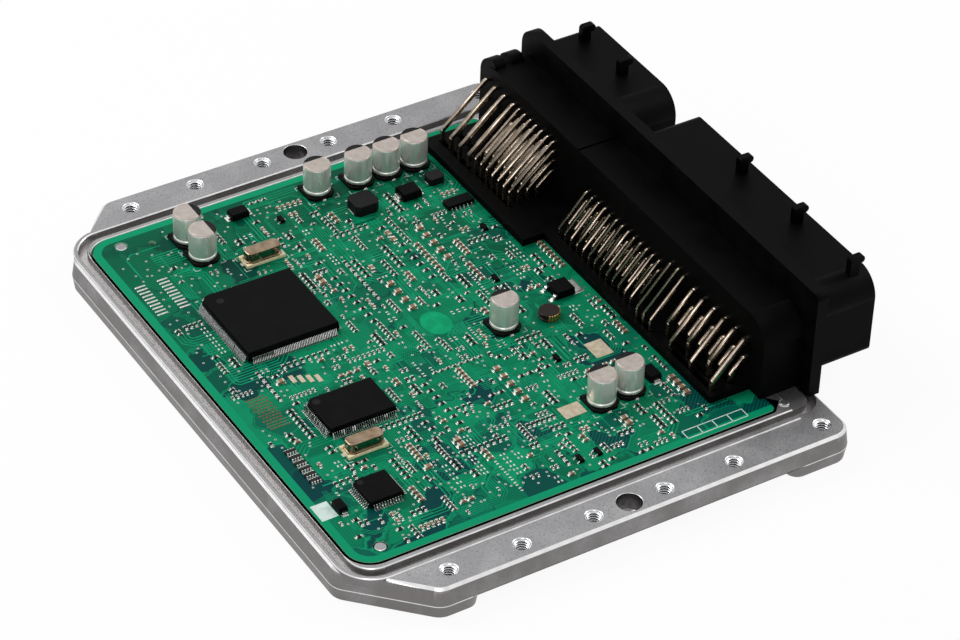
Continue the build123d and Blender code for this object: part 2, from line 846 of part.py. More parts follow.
# Small transistors in rows, body and three legs each
transistor_places = [
    on_board(0.8915, 0.5565),
    on_board(0.8902, 0.6005),
    on_board(-0.3869, 0.7959),
    on_board(-0.7908, 0.4192),
    on_board(0.3922, 0.6900),
    on_board(-0.1046, 0.7214),
]
transistor_length = 2.9
transistor_width = 1.4
transistor_height = 1.0
leg_reach = 0.6
leg_width = 0.4
leg_height = 0.25
leg_spacing = 1.9
box_group(
    "transistor_bodies",
    [(x, y, transistor_length, transistor_width, transistor_height) for x, y in transistor_places],
)
transistor_legs = []
leg_y = (transistor_width + leg_reach) / 2
for x, y in transistor_places:
    transistor_legs.append((x, y + leg_y, leg_width, leg_reach, leg_height))
    transistor_legs.append((x - leg_spacing / 2, y - leg_y, leg_width, leg_reach, leg_height))
    transistor_legs.append((x + leg_spacing / 2, y - leg_y, leg_width, leg_reach, leg_height))
box_group("transistor_legs", transistor_legs)

# Tinned contact pads: two bare power pads, three small ones and the double row of test pads
pad_height = 0.12
power_pads = [
    (*on_board(0.4144, 0.7873), 6.8, 5.4, pad_height),
    (*on_board(0.6562, 0.6272), 5.0, 6.6, pad_height),
]
box_group("power_pads", power_pads)
test_pad_count = 10
test_pad_pitch = 1.5
test_pad_first = (on_board(-0.6889, 0.0392), on_board(-0.6889, 0.0926))
test_pad_size = (0.9, 3.2)
test_pads = [
    (first[0] + i * test_pad_pitch, first[1], *test_pad_size, pad_height)
    for first in test_pad_first
    for i in range(test_pad_count)
]
box_group("test_pads", test_pads)

# Resistor arrays in a row, then chip resistors and chip capacitors
array_size = (1.6, 3.2, 0.6)
array_pitch = 2.6
array_count = 6
array_first = on_board(0.3739, 0.0542)
resistor_arrays = [
    (array_first[0] + i * array_pitch, array_first[1], *array_size) for i in range(array_count)
]
box_group("resistor_arrays", resistor_arrays)
chip_size = (0.9, 1.7, 0.6)
chip_resistor_rows = [
    (on_board(-0.3922, 0.4192), 3.1, 8),
    (on_board(-0.4444, 0.6075), 3.3, 6),
    (on_board(0.2876, 0.4035), 3.0, 7),
]
chip_resistors = [
    (start[0] + i * pitch, start[1], *chip_size)
    for start, pitch, count in chip_resistor_rows
    for i in range(count)
]
box_group("chip_resistors", chip_resistors)
chip_capacitor_size = (1.3, 2.1, 1.1)
chip_capacitor_rows = [
    (on_board(-0.4967, 0.6703), 3.8, 5),
    (on_board(0.3399, 0.5604), 3.6, 5),
    (on_board(-0.2614, 0.5133), 4.0, 4),
]
chip_capacitors = [
    (start[0] + i * pitch, start[1], *chip_capacitor_size)
    for start, pitch, count in chip_capacitor_rows
    for i in range(count)
]
box_group("chip_capacitors", chip_capacitors)
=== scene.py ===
"""Looks of an opened engine control unit: cast base, populated board and a two-bay pin header.

Meshes are made in millimetres, in the frame of the CAD model, and turned to metres when they
are finished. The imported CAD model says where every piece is.
"""

import logging
import math
import random
from dataclasses import dataclass, field
from enum import Enum
from typing import Callable, Iterable, Optional, Sequence, Union

import bmesh
import bpy
from bmesh.types import BMEdge, BMesh, BMFace, BMVert
from bpy.types import Material, NodeSocket, NodeTree
from mathutils import Matrix, Vector


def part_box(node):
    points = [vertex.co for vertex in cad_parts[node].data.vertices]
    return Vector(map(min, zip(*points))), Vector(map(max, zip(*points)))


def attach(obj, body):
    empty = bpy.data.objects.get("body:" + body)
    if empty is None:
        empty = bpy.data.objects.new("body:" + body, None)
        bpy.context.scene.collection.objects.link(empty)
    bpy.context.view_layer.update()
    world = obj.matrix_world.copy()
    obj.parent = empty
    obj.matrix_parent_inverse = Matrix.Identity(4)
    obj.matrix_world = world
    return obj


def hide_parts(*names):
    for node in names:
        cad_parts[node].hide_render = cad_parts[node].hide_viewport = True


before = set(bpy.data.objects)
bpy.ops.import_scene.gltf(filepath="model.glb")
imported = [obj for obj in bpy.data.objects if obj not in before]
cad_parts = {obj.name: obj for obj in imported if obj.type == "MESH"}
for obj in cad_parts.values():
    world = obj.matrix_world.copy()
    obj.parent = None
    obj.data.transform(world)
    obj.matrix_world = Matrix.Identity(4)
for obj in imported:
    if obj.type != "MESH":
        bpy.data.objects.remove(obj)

log = logging.getLogger("control_unit")

MM = 0.001
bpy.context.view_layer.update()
# A face that looks this straight along an axis, or is this large in square millimetres, is shaded flat
LEVEL_SHARE = 0.9999
LARGE_AREA = 60.0
SIDES = (-1, 1)
# Edges of a CAD mesh that turn by more than this, in degrees, are edges of the shape
SHARP = 30.0

Pair = tuple[float, float]
Area = tuple[float, float, float, float]


class Slot(Enum):
    """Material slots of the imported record."""

    CASTING = "cast_aluminium"
    BOARD = "board_laminate"
    HEADER = "header_plastic"
    PIN = "tinned_pin"
    CHIP = "chip_plastic"
    LEAD = "tinned_lead"
    CAN = "can_aluminium"
    CAN_BASE = "black_base"
    CRYSTAL = "crystal_metal"
    CRYSTAL_BASE = "crystal_base"
    FERRITE = "ferrite"
    SOLDER = "bare_solder"
    RESISTOR = "resistor_body"
    CAPACITOR = "capacitor_body"


def linear(code: str) -> tuple[float, float, float, float]:
    """Turns an sRGB hex colour to linear light.

    Args:
        code: colour such as "#8899aa".

    Returns:
        Red, green, blue and an alpha of 1.
    """
    parts = [int(code[i : i + 2], 16) / 255 for i in (1, 3, 5)]
    red, green, blue = [p / 12.92 if p <= 0.04045 else ((p + 0.055) / 1.055) ** 2.4 for p in parts]
    return (red, green, blue, 1.0)


def add_node(
    tree: NodeTree,
    kind: str,
    inputs: Union[dict, Sequence] = (),
    out: Union[int, str] = 0,
    **settings: object,
) -> Optional[NodeSocket]:
    """Adds one shader node with its settings and links.

    Args:
        tree: node tree of the material.
        kind: type name of the node, without its prefix.
        inputs: values or source sockets, by name or number of the input or in their order.
        out: name or number of the output that is wanted.
        settings: properties of the node itself.

    Returns:
        The wanted output, or None for a node that has no outputs.
    """
    made = tree.nodes.new("ShaderNode" + kind)
    for name, value in settings.items():
        setattr(made, name, value)
    for key, value in inputs.items() if isinstance(inputs, dict) else enumerate(inputs):
        if isinstance(value, NodeSocket):
            tree.links.new(value, made.inputs[key])
        else:
            made.inputs[key].default_value = value
    return made.outputs[out] if made.outputs else None


def new_material(name: str) -> Material:
    """Makes an empty node material.

    Args:
        name: its name.

    Returns:
        The material, without nodes.
    """
    material = bpy.data.materials.new(name)
    material.use_nodes = True
    material.node_tree.nodes.clear()
    return material


def place_in_mm(tree: NodeTree, stretch: Sequence[float] = (1.0, 1.0, 1.0)) -> NodeSocket:
    """Adds each point's own place, in millimetres.

    Args:
        tree: node tree of the material.
        stretch: factor on each axis, small where a pattern is drawn out.

    Returns:
        Socket of the place.
    """
    place = add_node(tree, "TexCoord", out="Object")
    return add_node(tree, "Mapping", {"Vector": place, "Scale": tuple(s / MM for s in stretch)})


@dataclass(frozen=True)
class Finish:
    """A finish with two close tones in soft patches and a fine grain, sized in millimetres."""

    name: str
    colour: str
    second: str
    roughness: float
    metallic: float = 0.0
    ior: float = 1.5
    specular: float = 0.5
    patch_mm: float = 6.0
    grain_mm: float = 0.3
    depth_mm: float = 0.02
    spread: float = 0.08
    stretch: tuple[float, float, float] = (1.0, 1.0, 1.0)

    def build(self) -> Material:
        """Builds the nodes of this finish.

        Returns:
            The node material.
        """
        material = new_material(self.name)
        tree = material.node_tree
        mm = place_in_mm(tree, self.stretch)
        patches = add_node(tree, "TexNoise", {"Vector": mm, "Scale": 1 / self.patch_mm, "Detail": 3.0})
        tone = add_node(tree, "MapRange", (patches, 0.35, 0.65, 0.0, 1.0))
        tones = {0: tone, 6: linear(self.colour), 7: linear(self.second)}
        colour = add_node(tree, "Mix", tones, 2, data_type="RGBA")
        smoothest = max(0.02, self.roughness - self.spread)
        rough = add_node(tree, "MapRange", (patches, 0.3, 0.7, smoothest, self.roughness + self.spread))
        grain = add_node(tree, "TexNoise", {"Vector": mm, "Scale": 1 / self.grain_mm, "Detail": 2.0})
        bump = add_node(tree, "Bump", {"Height": grain, "Strength": 0.6, "Distance": self.depth_mm * MM})
        inputs = {"Base Color": colour, "Roughness": rough, "Metallic": self.metallic, "Normal": bump}
        if not self.metallic:
            inputs.update({"IOR": self.ior, "Specular IOR Level": self.specular})
        shader = add_node(tree, "BsdfPrincipled", inputs)
        add_node(tree, "OutputMaterial", {"Surface": shader})
        return material


@dataclass(frozen=True)
class CastSurface:
    """Die-cast aluminium: blasted top, sides darkened with painted shade, and a lighter tone down in the
    grooves.
    """

    name: str
    top: str = "#929193"
    # Painted shade: faces that do not look up take this darker tone
    side: str = "#787574"
    low: str = "#c2bfbe"
    fleck: str = "#716f70"
    worn: str = "#a9a8a9"
    roughness: float = 0.46
    spread: float = 0.07
    metallic: float = 0.82
    low_from_mm: float = 7.6
    low_to_mm: float = 9.2
    fleck_mm: float = 0.42
    cloud_mm: float = 11.0
    depth_mm: float = 0.06

    def build(self) -> Material:
        """Builds the nodes of the casting's surface.

        Returns:
            The node material.
        """
        material = new_material(self.name)
        tree = material.node_tree
        mm = place_in_mm(tree)
        upward = add_node(tree, "SeparateXYZ", (add_node(tree, "NewGeometry", out="Normal"),), 2)
        # Painted shade: where faces turn away from up, the darker side tone takes over
        side_shade_mix = add_node(tree, "MapRange", (upward, 0.3, 0.85, 0.0, 1.0))
        height = add_node(tree, "SeparateXYZ", (mm,), 2)
        raised = add_node(tree, "MapRange", (height, self.low_from_mm, self.low_to_mm, 0.0, 1.0))
        cloud = add_node(tree, "TexNoise", {"Vector": mm, "Scale": 1 / self.cloud_mm, "Detail": 4.0})
        flecks = add_node(tree, "TexNoise", {"Vector": mm, "Scale": 1 / self.fleck_mm, "Detail": 3.0})
        worn_share = add_node(tree, "MapRange", (cloud, 0.45, 0.75, 0.0, 0.55))
        fleck_share = add_node(tree, "MapRange", (flecks, 0.5, 0.72, 0.0, 0.75))
        colour = linear(self.low)
        for share, low, high in (
            (raised, None, self.top),
            (side_shade_mix, self.side, None),
            (worn_share, None, self.worn),
            (fleck_share, None, self.fleck),
        ):
            tones = {0: share, 6: linear(low) if low else colour, 7: linear(high) if high else colour}
            colour = add_node(tree, "Mix", tones, 2, data_type="RGBA")
        limits = (self.roughness - self.spread, self.roughness + self.spread)
        rough = add_node(tree, "MapRange", (cloud, 0.3, 0.7, *limits))
        bump = add_node(tree, "Bump", {"Height": flecks, "Strength": 0.8, "Distance": self.depth_mm * MM})
        inputs = {"Base Color": colour, "Metallic": self.metallic, "Roughness": rough, "Normal": bump}
        add_node(tree, "OutputMaterial", {"Surface": add_node(tree, "BsdfPrincipled", inputs)})
        return material


@dataclass(frozen=True)
class SolderMask:
    """Green solder mask over copper and laminate: tones change where copper lies under it, and painted shade
    darkens the -X side.
    """

    name: str
    tones: tuple[str, ...] = ("#005a40", "#007a54", "#00453f", "#04855c", "#00684a", "#0a8f64", "#003b3d")
    line: str = "#10986a"
    border: str = "#089066"
    edge: str = "#8fbf9f"
    # Painted shade: tone that darkens the board towards -X
    painted_shade_tone: str = "#004430"
    half_width: float = 76.5
    rear_y: float = -73.4
    border_width: float = 2.4
    corner_r: float = 7.0
    area_mm: float = 11.0
    area_blend: float = 0.3
    bend_mm: float = 6.0
    bend_reach: float = 9.0
    bundle_mm: float = 11.0
    bundle_limit: float = 0.72
    line_pitch_mm: float = 0.9
    line_share: float = 0.42
    line_strength: float = 0.2
    weave_mm: float = 0.7
    depth_mm: float = 0.03
    roughness: float = 0.36
    ior: float = 1.52
    specular: float = 0.05

    def area_tones(self, tree: NodeTree, mm: NodeSocket) -> NodeSocket:
        """Builds the soft-edged areas of copper and bare laminate, with painted shade towards -X.

        Args:
            tree: node tree of the board.
            mm: place in millimetres.

        Returns:
            Socket of the colour.
        """
        noise = {"Vector": mm, "Scale": 1 / self.bend_mm, "Detail": 3.0}
        bent = add_node(tree, "TexNoise", noise, "Color")
        centred = add_node(tree, "VectorMath", (bent, (0.5, 0.5, 0.5)), operation="SUBTRACT")
        pull = add_node(tree, "VectorMath", {0: centred, "Scale": self.bend_reach}, operation="SCALE")
        moved = add_node(tree, "VectorMath", (mm, pull), operation="ADD")
        cells = {"Vector": moved, "Scale": 1 / self.area_mm, "Randomness": 1.0}
        cells["Smoothness"] = self.area_blend
        areas = add_node(tree, "TexVoronoi", cells, "Color", voronoi_dimensions="2D", feature="SMOOTH_F1")
        colour = add_node(tree, "ValToRGB", (add_node(tree, "SeparateColor", (areas,)),))
        ramp = colour.node.color_ramp
        ramp.interpolation = "EASE"
        while len(ramp.elements) < len(self.tones):
            ramp.elements.new(1.0)
        for i, tone in enumerate(self.tones):
            ramp.elements[i].position = i / len(self.tones)
            ramp.elements[i].color = linear(tone)

        # Painted shade: the board is darkened towards -X, the small bay's side
        across = add_node(tree, "SeparateXYZ", (mm,))
        depth = add_node(tree, "MapRange", (across, -66.0, 30.0, 0.72, 0.0))
        shade = {0: depth, 6: colour, 7: linear(self.painted_shade_tone)}
        return add_node(tree, "Mix", shade, 2, data_type="RGBA")

    def line_bundles(self, tree: NodeTree, mm: NodeSocket) -> NodeSocket:
        """Builds bundles of fine parallel lines, level, upright or slanted by area.

        Args:
            tree: node tree of the board.
            mm: place in millimetres.

        Returns:
            Socket that is 1 on a line.
        """
        cells = {"Vector": mm, "Scale": 1 / self.bundle_mm, "Randomness": 0.95}
        areas = add_node(tree, "TexVoronoi", cells, "Color", voronoi_dimensions="2D", distance="CHEBYCHEV")
        pick = add_node(tree, "SeparateColor", (areas,)).node.outputs
        quarter = add_node(tree, "Math", (pick[0], 4.0), operation="MULTIPLY")
        whole = add_node(tree, "Math", (quarter,), operation="FLOOR")
        angle = add_node(tree, "Math", (whole, math.pi / 4), operation="MULTIPLY")
        turned = add_node(tree, "VectorRotate", {"Vector": mm, "Angle": angle}, rotation_type="Z_AXIS")
        across = add_node(tree, "SeparateXYZ", (turned,))
        steps = add_node(tree, "Math", (across, 1 / self.line_pitch_mm), operation="MULTIPLY")
        phase = add_node(tree, "Math", (steps,), operation="FRACT")
        on_line = add_node(tree, "Math", (phase, self.line_share), operation="LESS_THAN")
        in_use = add_node(tree, "Math", (pick[1], self.bundle_limit), operation="GREATER_THAN")
        return add_node(tree, "Math", (on_line, in_use), operation="MULTIPLY")

    def border_share(self, tree: NodeTree, mm: NodeSocket) -> NodeSocket:
        """Builds the bare border of copper along the sides and the rear, round at the corners.

        Args:
            tree: node tree of the board.
            mm: place in millimetres.

        Returns:
            Socket that is 1 on the border.
        """
        axes = add_node(tree, "SeparateXYZ", (mm,)).node.outputs
        across = add_node(tree, "Math", (axes[0],), operation="ABSOLUTE")
        spans = ((across, self.half_width - self.corner_r), (self.rear_y + self.corner_r, axes[1]))
        squares = []
        for span in spans:
            over = add_node(tree, "Math", span, operation="SUBTRACT")
            side = add_node(tree, "Math", (over, 0.0), operation="MAXIMUM")
            squares.append(add_node(tree, "Math", (side, side), operation="MULTIPLY"))
        both = add_node(tree, "Math", squares, operation="ADD")
        reach = add_node(tree, "Math", (both,), operation="SQRT")
        inner = self.corner_r - self.border_width
        return add_node(tree, "MapRange", (reach, inner, inner + 0.15, 0.0, 1.0))

    def build(self) -> Material:
        """Builds the nodes of the board's surface.

        Returns:
            The node material.
        """
        material = new_material(self.name)
        tree = material.node_tree
        mm = place_in_mm(tree)
        ground = self.area_tones(tree, mm)
        line = self.line_bundles(tree, mm)
        shown = add_node(tree, "Math", (line, self.line_strength), operation="MULTIPLY")
        border = self.border_share(tree, mm)
        tilt = add_node(tree, "SeparateXYZ", (add_node(tree, "NewGeometry", out="Normal"),), 2)
        level = add_node(tree, "Math", (tilt,), operation="ABSOLUTE")
        sawn = add_node(tree, "Math", (level, 0.5), operation="LESS_THAN")
        colour = ground
        for share, tone in ((shown, self.line), (border, self.border), (sawn, self.edge)):
            colour = add_node(tree, "Mix", {0: share, 6: colour, 7: linear(tone)}, 2, data_type="RGBA")
        weave = add_node(tree, "TexNoise", {"Vector": mm, "Scale": 1 / self.weave_mm, "Detail": 2.0})
        height = add_node(tree, "Math", (line, weave), operation="ADD")
        bump = add_node(tree, "Bump", {"Height": height, "Strength": 0.5, "Distance": self.depth_mm * MM})
        inputs = {"Base Color": colour, "Roughness": self.roughness, "Normal": bump}
        inputs.update({"IOR": self.ior, "Specular IOR Level": self.specular})
        add_node(tree, "OutputMaterial", {"Surface": add_node(tree, "BsdfPrincipled", inputs)})
        return material


class Finishes:
    """Every finish of the unit, built once."""

    def __init__(self) -> None:
        """Builds the node materials."""
        # Die-cast aluminium, shot-blasted: satin and finely flecked, never mirror-like
        self.casting = CastSurface("die_cast_aluminium").build()
        # Painted highlight along the casting's edges: a clean light line along every rim
        self.edge = Finish(
            "painted_edge_highlight", "#e4e3e3", "#cfcecf", 0.34, 1.0, patch_mm=3.0, grain_mm=0.5
        ).build()
        # Cut aluminium in the tapped holes and their mouths: brighter and smoother
        self.cut_metal = Finish(
            "cut_aluminium", "#d4d5d6", "#bbbcbd", 0.26, 1.0, patch_mm=2.0, grain_mm=0.2, depth_mm=0.01
        ).build()
        # Wall of the large holes: drilled metal darkened with painted shade, darker than the flange round it
        self.wall_shade = Finish("painted_wall_shade", "#545252", "#403e3e", 0.4, 0.9, patch_mm=1.5).build()
        # Thread root: the same metal darkened with painted shade
        self.thread_root = Finish(
            "thread_root", "#3d3a38", "#2e2b2a", 0.45, 0.8, patch_mm=1.0, grain_mm=0.2, depth_mm=0.01
        ).build()
        # Glossy green mask whose tone changes with the copper under it, with painted shade towards -X
        self.mask = SolderMask("solder_mask").build()
        # Copper line under solder mask: a little lighter than the ground beside it
        under_mask = {"ior": 1.52, "specular": 0.05, "grain_mm": 0.6, "depth_mm": 0.01}
        self.trace = Finish(
            "masked_copper_line", "#12946a", "#057d55", 0.36, patch_mm=5.0, **under_mask
        ).build()
        # Open copper area under the mask, without parts: the lightest green of the board
        self.open_copper = Finish(
            "masked_copper_area", "#0aa06e", "#068f60", 0.36, patch_mm=3.0, **under_mask
        ).build()
        # Epoxy legend ink, printed white and matte
        self.legend = Finish(
            "legend_ink", "#d5e6e0", "#c2d8d0", 0.6, patch_mm=1.5, grain_mm=0.25, depth_mm=0.01
        ).build()
        # Glass-filled PBT, moulded matte black
        self.header = Finish(
            "moulded_black_pbt", "#020202", "#050505", 0.5, ior=1.52, specular=0.03, patch_mm=8.0,
            grain_mm=0.35, depth_mm=0.03,
        ).build()
        # Soft brown silicone bead, dull
        self.seal = Finish("silicone_seal", "#4a3a33", "#3c2f2a", 0.6, ior=1.41, patch_mm=3.0).build()
        # Brass pin with a tin layer: silver with a warm cast
        self.pin = Finish(
            "tinned_brass", "#bdae9e", "#978878", 0.24, 1.0, patch_mm=2.2, grain_mm=0.4, depth_mm=0.01
        ).build()
        # Epoxy moulding compound of chip bodies: near black, very fine grain
        self.chip = Finish(
            "epoxy_moulding", "#040405", "#070708", 0.38, ior=1.55, specular=0.035, patch_mm=5.0,
            grain_mm=0.25,
        ).build()
        # Index mark of a chip: the same moulding, smooth and a little lighter
        self.chip_mark = Finish(
            "polished_epoxy", "#101012", "#0a0a0c", 0.25, ior=1.55, specular=0.1, patch_mm=1.0,
            depth_mm=0.005,
        ).build()
        # Tinned lead of a package: grey silver, a little duller than the solder at its foot
        self.lead = Finish(
            "tinned_copper", "#b4b5b3", "#8f9190", 0.28, 1.0, patch_mm=0.8, grain_mm=0.2, depth_mm=0.01
        ).build()
        # Deep-drawn aluminium can with a clear sleeve: satin, with faint streaks up its side
        self.can = Finish(
            "drawn_aluminium", "#e9eae4", "#d6d8d1", 0.3, 0.6, patch_mm=1.6, grain_mm=0.35, depth_mm=0.012,
            spread=0.04, stretch=(1.0, 1.0, 0.08),
        ).build()
        # Top of the can: matte warm grey, with one black segment printed on it
        self.can_top = Finish(
            "lacquered_can_top", "#b7ada6", "#a89e96", 0.45, 0.35, patch_mm=1.6, grain_mm=0.35,
            depth_mm=0.012,
        ).build()
        self.can_ink = Finish(
            "black_can_ink", "#0a0a0a", "#101010", 0.55, specular=0.15, patch_mm=0.8
        ).build()
        # Black nylon seat under the can, matte
        self.can_base = Finish("black_nylon", "#050505", "#0a0a0a", 0.5, specular=0.08, patch_mm=2.0).build()
        # Nickel-silver can, bright enough to mirror the board round it
        self.crystal = Finish(
            "nickel_silver", "#a4917c", "#846f59", 0.12, 1.0, patch_mm=2.4, grain_mm=0.4, depth_mm=0.008,
            spread=0.04,
        ).build()
        # Cream liquid-crystal polymer under the crystals
        self.crystal_base = Finish("cream_lcp", "#efe6c0", "#ddd1a0", 0.5, patch_mm=1.2).build()
        # Pressed ferrite: charcoal with a coarse dry grain
        self.ferrite = Finish(
            "pressed_ferrite", "#08080a", "#0f0f11", 0.5, specular=0.12, patch_mm=1.5, grain_mm=0.25,
            depth_mm=0.03,
        ).build()
        # Choke core dipped in brown varnish, and the copper wire round it
        self.varnish = Finish(
            "brown_varnish", "#140a08", "#1f110c", 0.3, specular=0.16, patch_mm=1.2, grain_mm=0.4
        ).build()
        self.wire = Finish(
            "enamelled_wire", "#d9b06a", "#b98a4a", 0.25, 0.9, patch_mm=0.8, grain_mm=0.2, depth_mm=0.01
        ).build()
        # Solder that has run and set: the brightest metal on the board
        self.solder = Finish("reflowed_solder", "#dcdcd8", "#b5b6b2", 0.2, 1.0, patch_mm=0.7).build()
        # Bare pad with preserved copper and flux: pale beige
        self.bare_pad = Finish(
            "preserved_copper", "#cfc2ab", "#b7a78d", 0.4, 0.45, patch_mm=2.0, grain_mm=0.4, depth_mm=0.01
        ).build()
        # Via ring left open: brown copper
        self.via_ring = Finish(
            "open_via_copper", "#8a6546", "#6d4c33", 0.4, 0.7, patch_mm=1.2, depth_mm=0.01
        ).build()
        # Chip parts: glassy black resistors, tan and grey ceramic capacitors
        self.resistor = Finish(
            "fired_black_glass", "#0a0a0b", "#121213", 0.3, specular=0.2, patch_mm=0.8
        ).build()
        ceramic = {"roughness": 0.45, "specular": 0.35, "patch_mm": 0.7}
        self.ceramic = Finish("tan_ceramic", "#a27d5c", "#7e5f44", **ceramic).build()
        self.dark_ceramic = Finish("grey_ceramic", "#5b544d", "#3c3733", **ceramic).build()


def mm_box(name: str) -> tuple[Vector, Vector]:
    """Lowest and highest corner of a CAD node, in millimetres."""
    low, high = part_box(name)
    return low / MM, high / MM


def node_copy(name: str) -> BMesh:
    """Copies a CAD node's mesh, in millimetres, with equal points merged.

    Args:
        name: name of the CAD node.

    Returns:
        A new bmesh of triangles.
    """
    bm = bmesh.new()
    bm.from_mesh(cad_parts[name].data)
    bmesh.ops.scale(bm, vec=(1 / MM,) * 3, verts=bm.verts)
    bmesh.ops.remove_doubles(bm, verts=bm.verts, dist=0.002)
    return bm


def node_mesh(name: str) -> BMesh:
    """Copies a CAD node's mesh, in millimetres, with its triangles joined.

    Args:
        name: name of the CAD node.

    Returns:
        A new bmesh with flat areas as single faces.
    """
    bm = node_copy(name)
    limit = math.radians(0.6)
    bmesh.ops.dissolve_limit(
        bm, angle_limit=limit, use_dissolve_boundaries=False, verts=bm.verts, edges=bm.edges
    )
    return bm


@dataclass(frozen=True)
class Block:
    """Upright box in millimetres."""

    low: Vector
    high: Vector

    @property
    def centre(self) -> Vector:
        """Middle of the box."""
        return (self.low + self.high) / 2

    @property
    def size(self) -> Vector:
        """Lengths of the box's sides."""
        return self.high - self.low

    def over(self, z: float, x: float = 0.0, y: float = 0.0) -> tuple[float, float, float]:
        """Point at a height over the box's middle, moved by X and Y."""
        return (self.centre.x + x, self.centre.y + y, z)

    def nearest(self, boxes: Iterable["Block"]) -> "Block":
        """The box that is nearest in plan."""
        return min(boxes, key=lambda b: (b.centre.xy - self.centre.xy).length)


def solids_of(name: str) -> list[Block]:
    """Boxes of the separate solids of one CAD node, in millimetres.

    Args:
        name: name of the CAD node.

    Returns:
        One box for each solid, sorted by X and then Y.
    """
    bm = node_copy(name)
    left = set(bm.verts)
    boxes = []
    while left:
        first = left.pop()
        group, queue = [first], [first]
        while queue:
            for edge in queue.pop().link_edges:
                for vert in left.intersection(edge.verts):
                    left.remove(vert)
                    group.append(vert)
                    queue.append(vert)
        low = Vector(min(v.co[i] for v in group) for i in range(3))
        high = Vector(max(v.co[i] for v in group) for i in range(3))
        boxes.append(Block(low, high))
    bm.free()
    return sorted(boxes, key=lambda b: (round(b.low.x, 1), round(b.low.y, 1)))


def verts_of(geometry: Iterable) -> list[BMVert]:
    """Vertices among some bmesh elements."""
    return [g for g in geometry if isinstance(g, BMVert)]


def join(bm: BMesh, part: BMesh, matrix: Matrix) -> None:
    """Moves one mesh into another.

    Args:
        bm: mesh to add to.
        part: mesh to add; it is freed.
        matrix: place of the added mesh.
    """
    bmesh.ops.transform(part, matrix=matrix, verts=part.verts)
    mesh = bpy.data.meshes.new("part")
    part.to_mesh(mesh)
    part.free()
    bm.from_mesh(mesh)
    bpy.data.meshes.remove(mesh)


def sharp_edges(bm: BMesh, degrees: float) -> list[BMEdge]:
    """Edges where two faces meet at more than the given angle."""
    limit = math.radians(degrees)
    return [e for e in bm.edges if len(e.link_faces) == 2 and e.calc_face_angle(0.0) > limit]


def bevel_edges(
    bm: BMesh,
    edges: list[BMEdge],
    width: float,
    segments: int,
    material: Optional[int] = None,
    clamp: bool = True,
) -> None:
    """Rounds the given edges.

    Args:
        bm: mesh that holds them.
        edges: edges to round.
        width: width of the bevel.
        segments: steps in it.
        material: material index of the new faces, or None for that of their neighbours.
        clamp: whether a short edge may hold the whole bevel back.
    """
    made = bmesh.ops.bevel(
        bm,
        geom=edges,
        offset=width,
        segments=segments,
        profile=0.5,
        affect="EDGES",
        material=-1,
        clamp_overlap=clamp,
    )
    if material is not None:
        for face in made["faces"]:
            face.material_index = material


def add_box(
    bm: BMesh,
    centre: Sequence[float],
    size: Sequence[float],
    bevel: float = 0.0,
    segments: int = 1,
    material: int = 0,
    top: float = 1.0,
) -> None:
    """Adds a box with worked edges.

    Args:
        bm: mesh to add to.
        centre: middle of the box.
        size: lengths of its sides.
        bevel: width of the bevel on its edges.
        segments: steps in that bevel.
        material: material index of its faces.
        top: share by which the upper face is narrower.
    """
    matrix = Matrix.Translation(centre) @ Matrix.Diagonal((*size, 1.0))
    verts = bmesh.ops.create_cube(bm, size=1.0, matrix=matrix)["verts"]
    for face in {f for v in verts for f in v.link_faces}:
        face.material_index = material
    if top != 1.0:
        upper = [v for v in verts if v.co.z > centre[2]]
        space = Matrix.Translation(-Vector(centre))
        bmesh.ops.scale(bm, vec=(top, top, 1.0), space=space, verts=upper)
    if bevel:
        bevel_edges(bm, list({edge for vert in verts for edge in vert.link_edges}), bevel, segments)


def add_turned(
    bm: BMesh,
    profile: Sequence[tuple[float, float]],
    centre: Sequence[float],
    steps: int = 40,
    material: int = 0,
    outwards: bool = True,
) -> None:
    """Adds a turned shape.

    Args:
        bm: mesh to add to.
        profile: radius and height of each point, from bottom to top.
        centre: foot of the upright axis.
        steps: flats round the axis.
        material: material index of its faces.
        outwards: whether its faces point away from the axis.
    """
    part = bmesh.new()
    verts = [part.verts.new((radius, 0, height)) for radius, height in profile]
    edges = [part.edges.new(pair) for pair in zip(verts, verts[1:])]
    bmesh.ops.spin(
        part,
        geom=[*verts, *edges],
        cent=(0, 0, 0),
        axis=(0, 0, 1),
        angle=2 * math.pi,
        steps=steps,
        use_merge=True,
        use_duplicate=False,
    )
    bmesh.ops.remove_doubles(part, verts=part.verts, dist=1e-4)
    bmesh.ops.recalc_face_normals(part, faces=part.faces)
    if not outwards:
        bmesh.ops.reverse_faces(part, faces=part.faces)
    for face in part.faces:
        face.material_index = material
    join(bm, part, Matrix.Translation(centre))


@dataclass
class Stamp:
    """A small shape made once and repeated at many places."""

    mesh: bpy.types.Mesh

    @classmethod
    def of(cls, make: Callable[[BMesh], None]) -> "Stamp":
        """Makes the shape.

        Args:
            make: function that builds the shape in an empty bmesh.

        Returns:
            The stamp.
        """
        bm = bmesh.new()
        make(bm)
        bmesh.ops.recalc_face_normals(bm, faces=bm.faces)
        mesh = bpy.data.meshes.new("stamp")
        bm.to_mesh(mesh)
        bm.free()
        return cls(mesh)

    def place(self, bm: BMesh, matrix: Matrix) -> None:
        """Adds the shape to a mesh.

        Args:
            bm: mesh to add to.
            matrix: place of the shape.
        """
        before = len(bm.verts)
        bm.from_mesh(self.mesh)
        bm.verts.ensure_lookup_table()
        bmesh.ops.transform(bm, matrix=matrix, verts=bm.verts[before:])


def turned_about_z(x: float, y: float, z: float, degrees: float = 0.0) -> Matrix:
    """Matrix of a place with a turn about the upright axis."""
    return Matrix.Translation((x, y, z)) @ Matrix.Rotation(math.radians(degrees), 4, "Z")


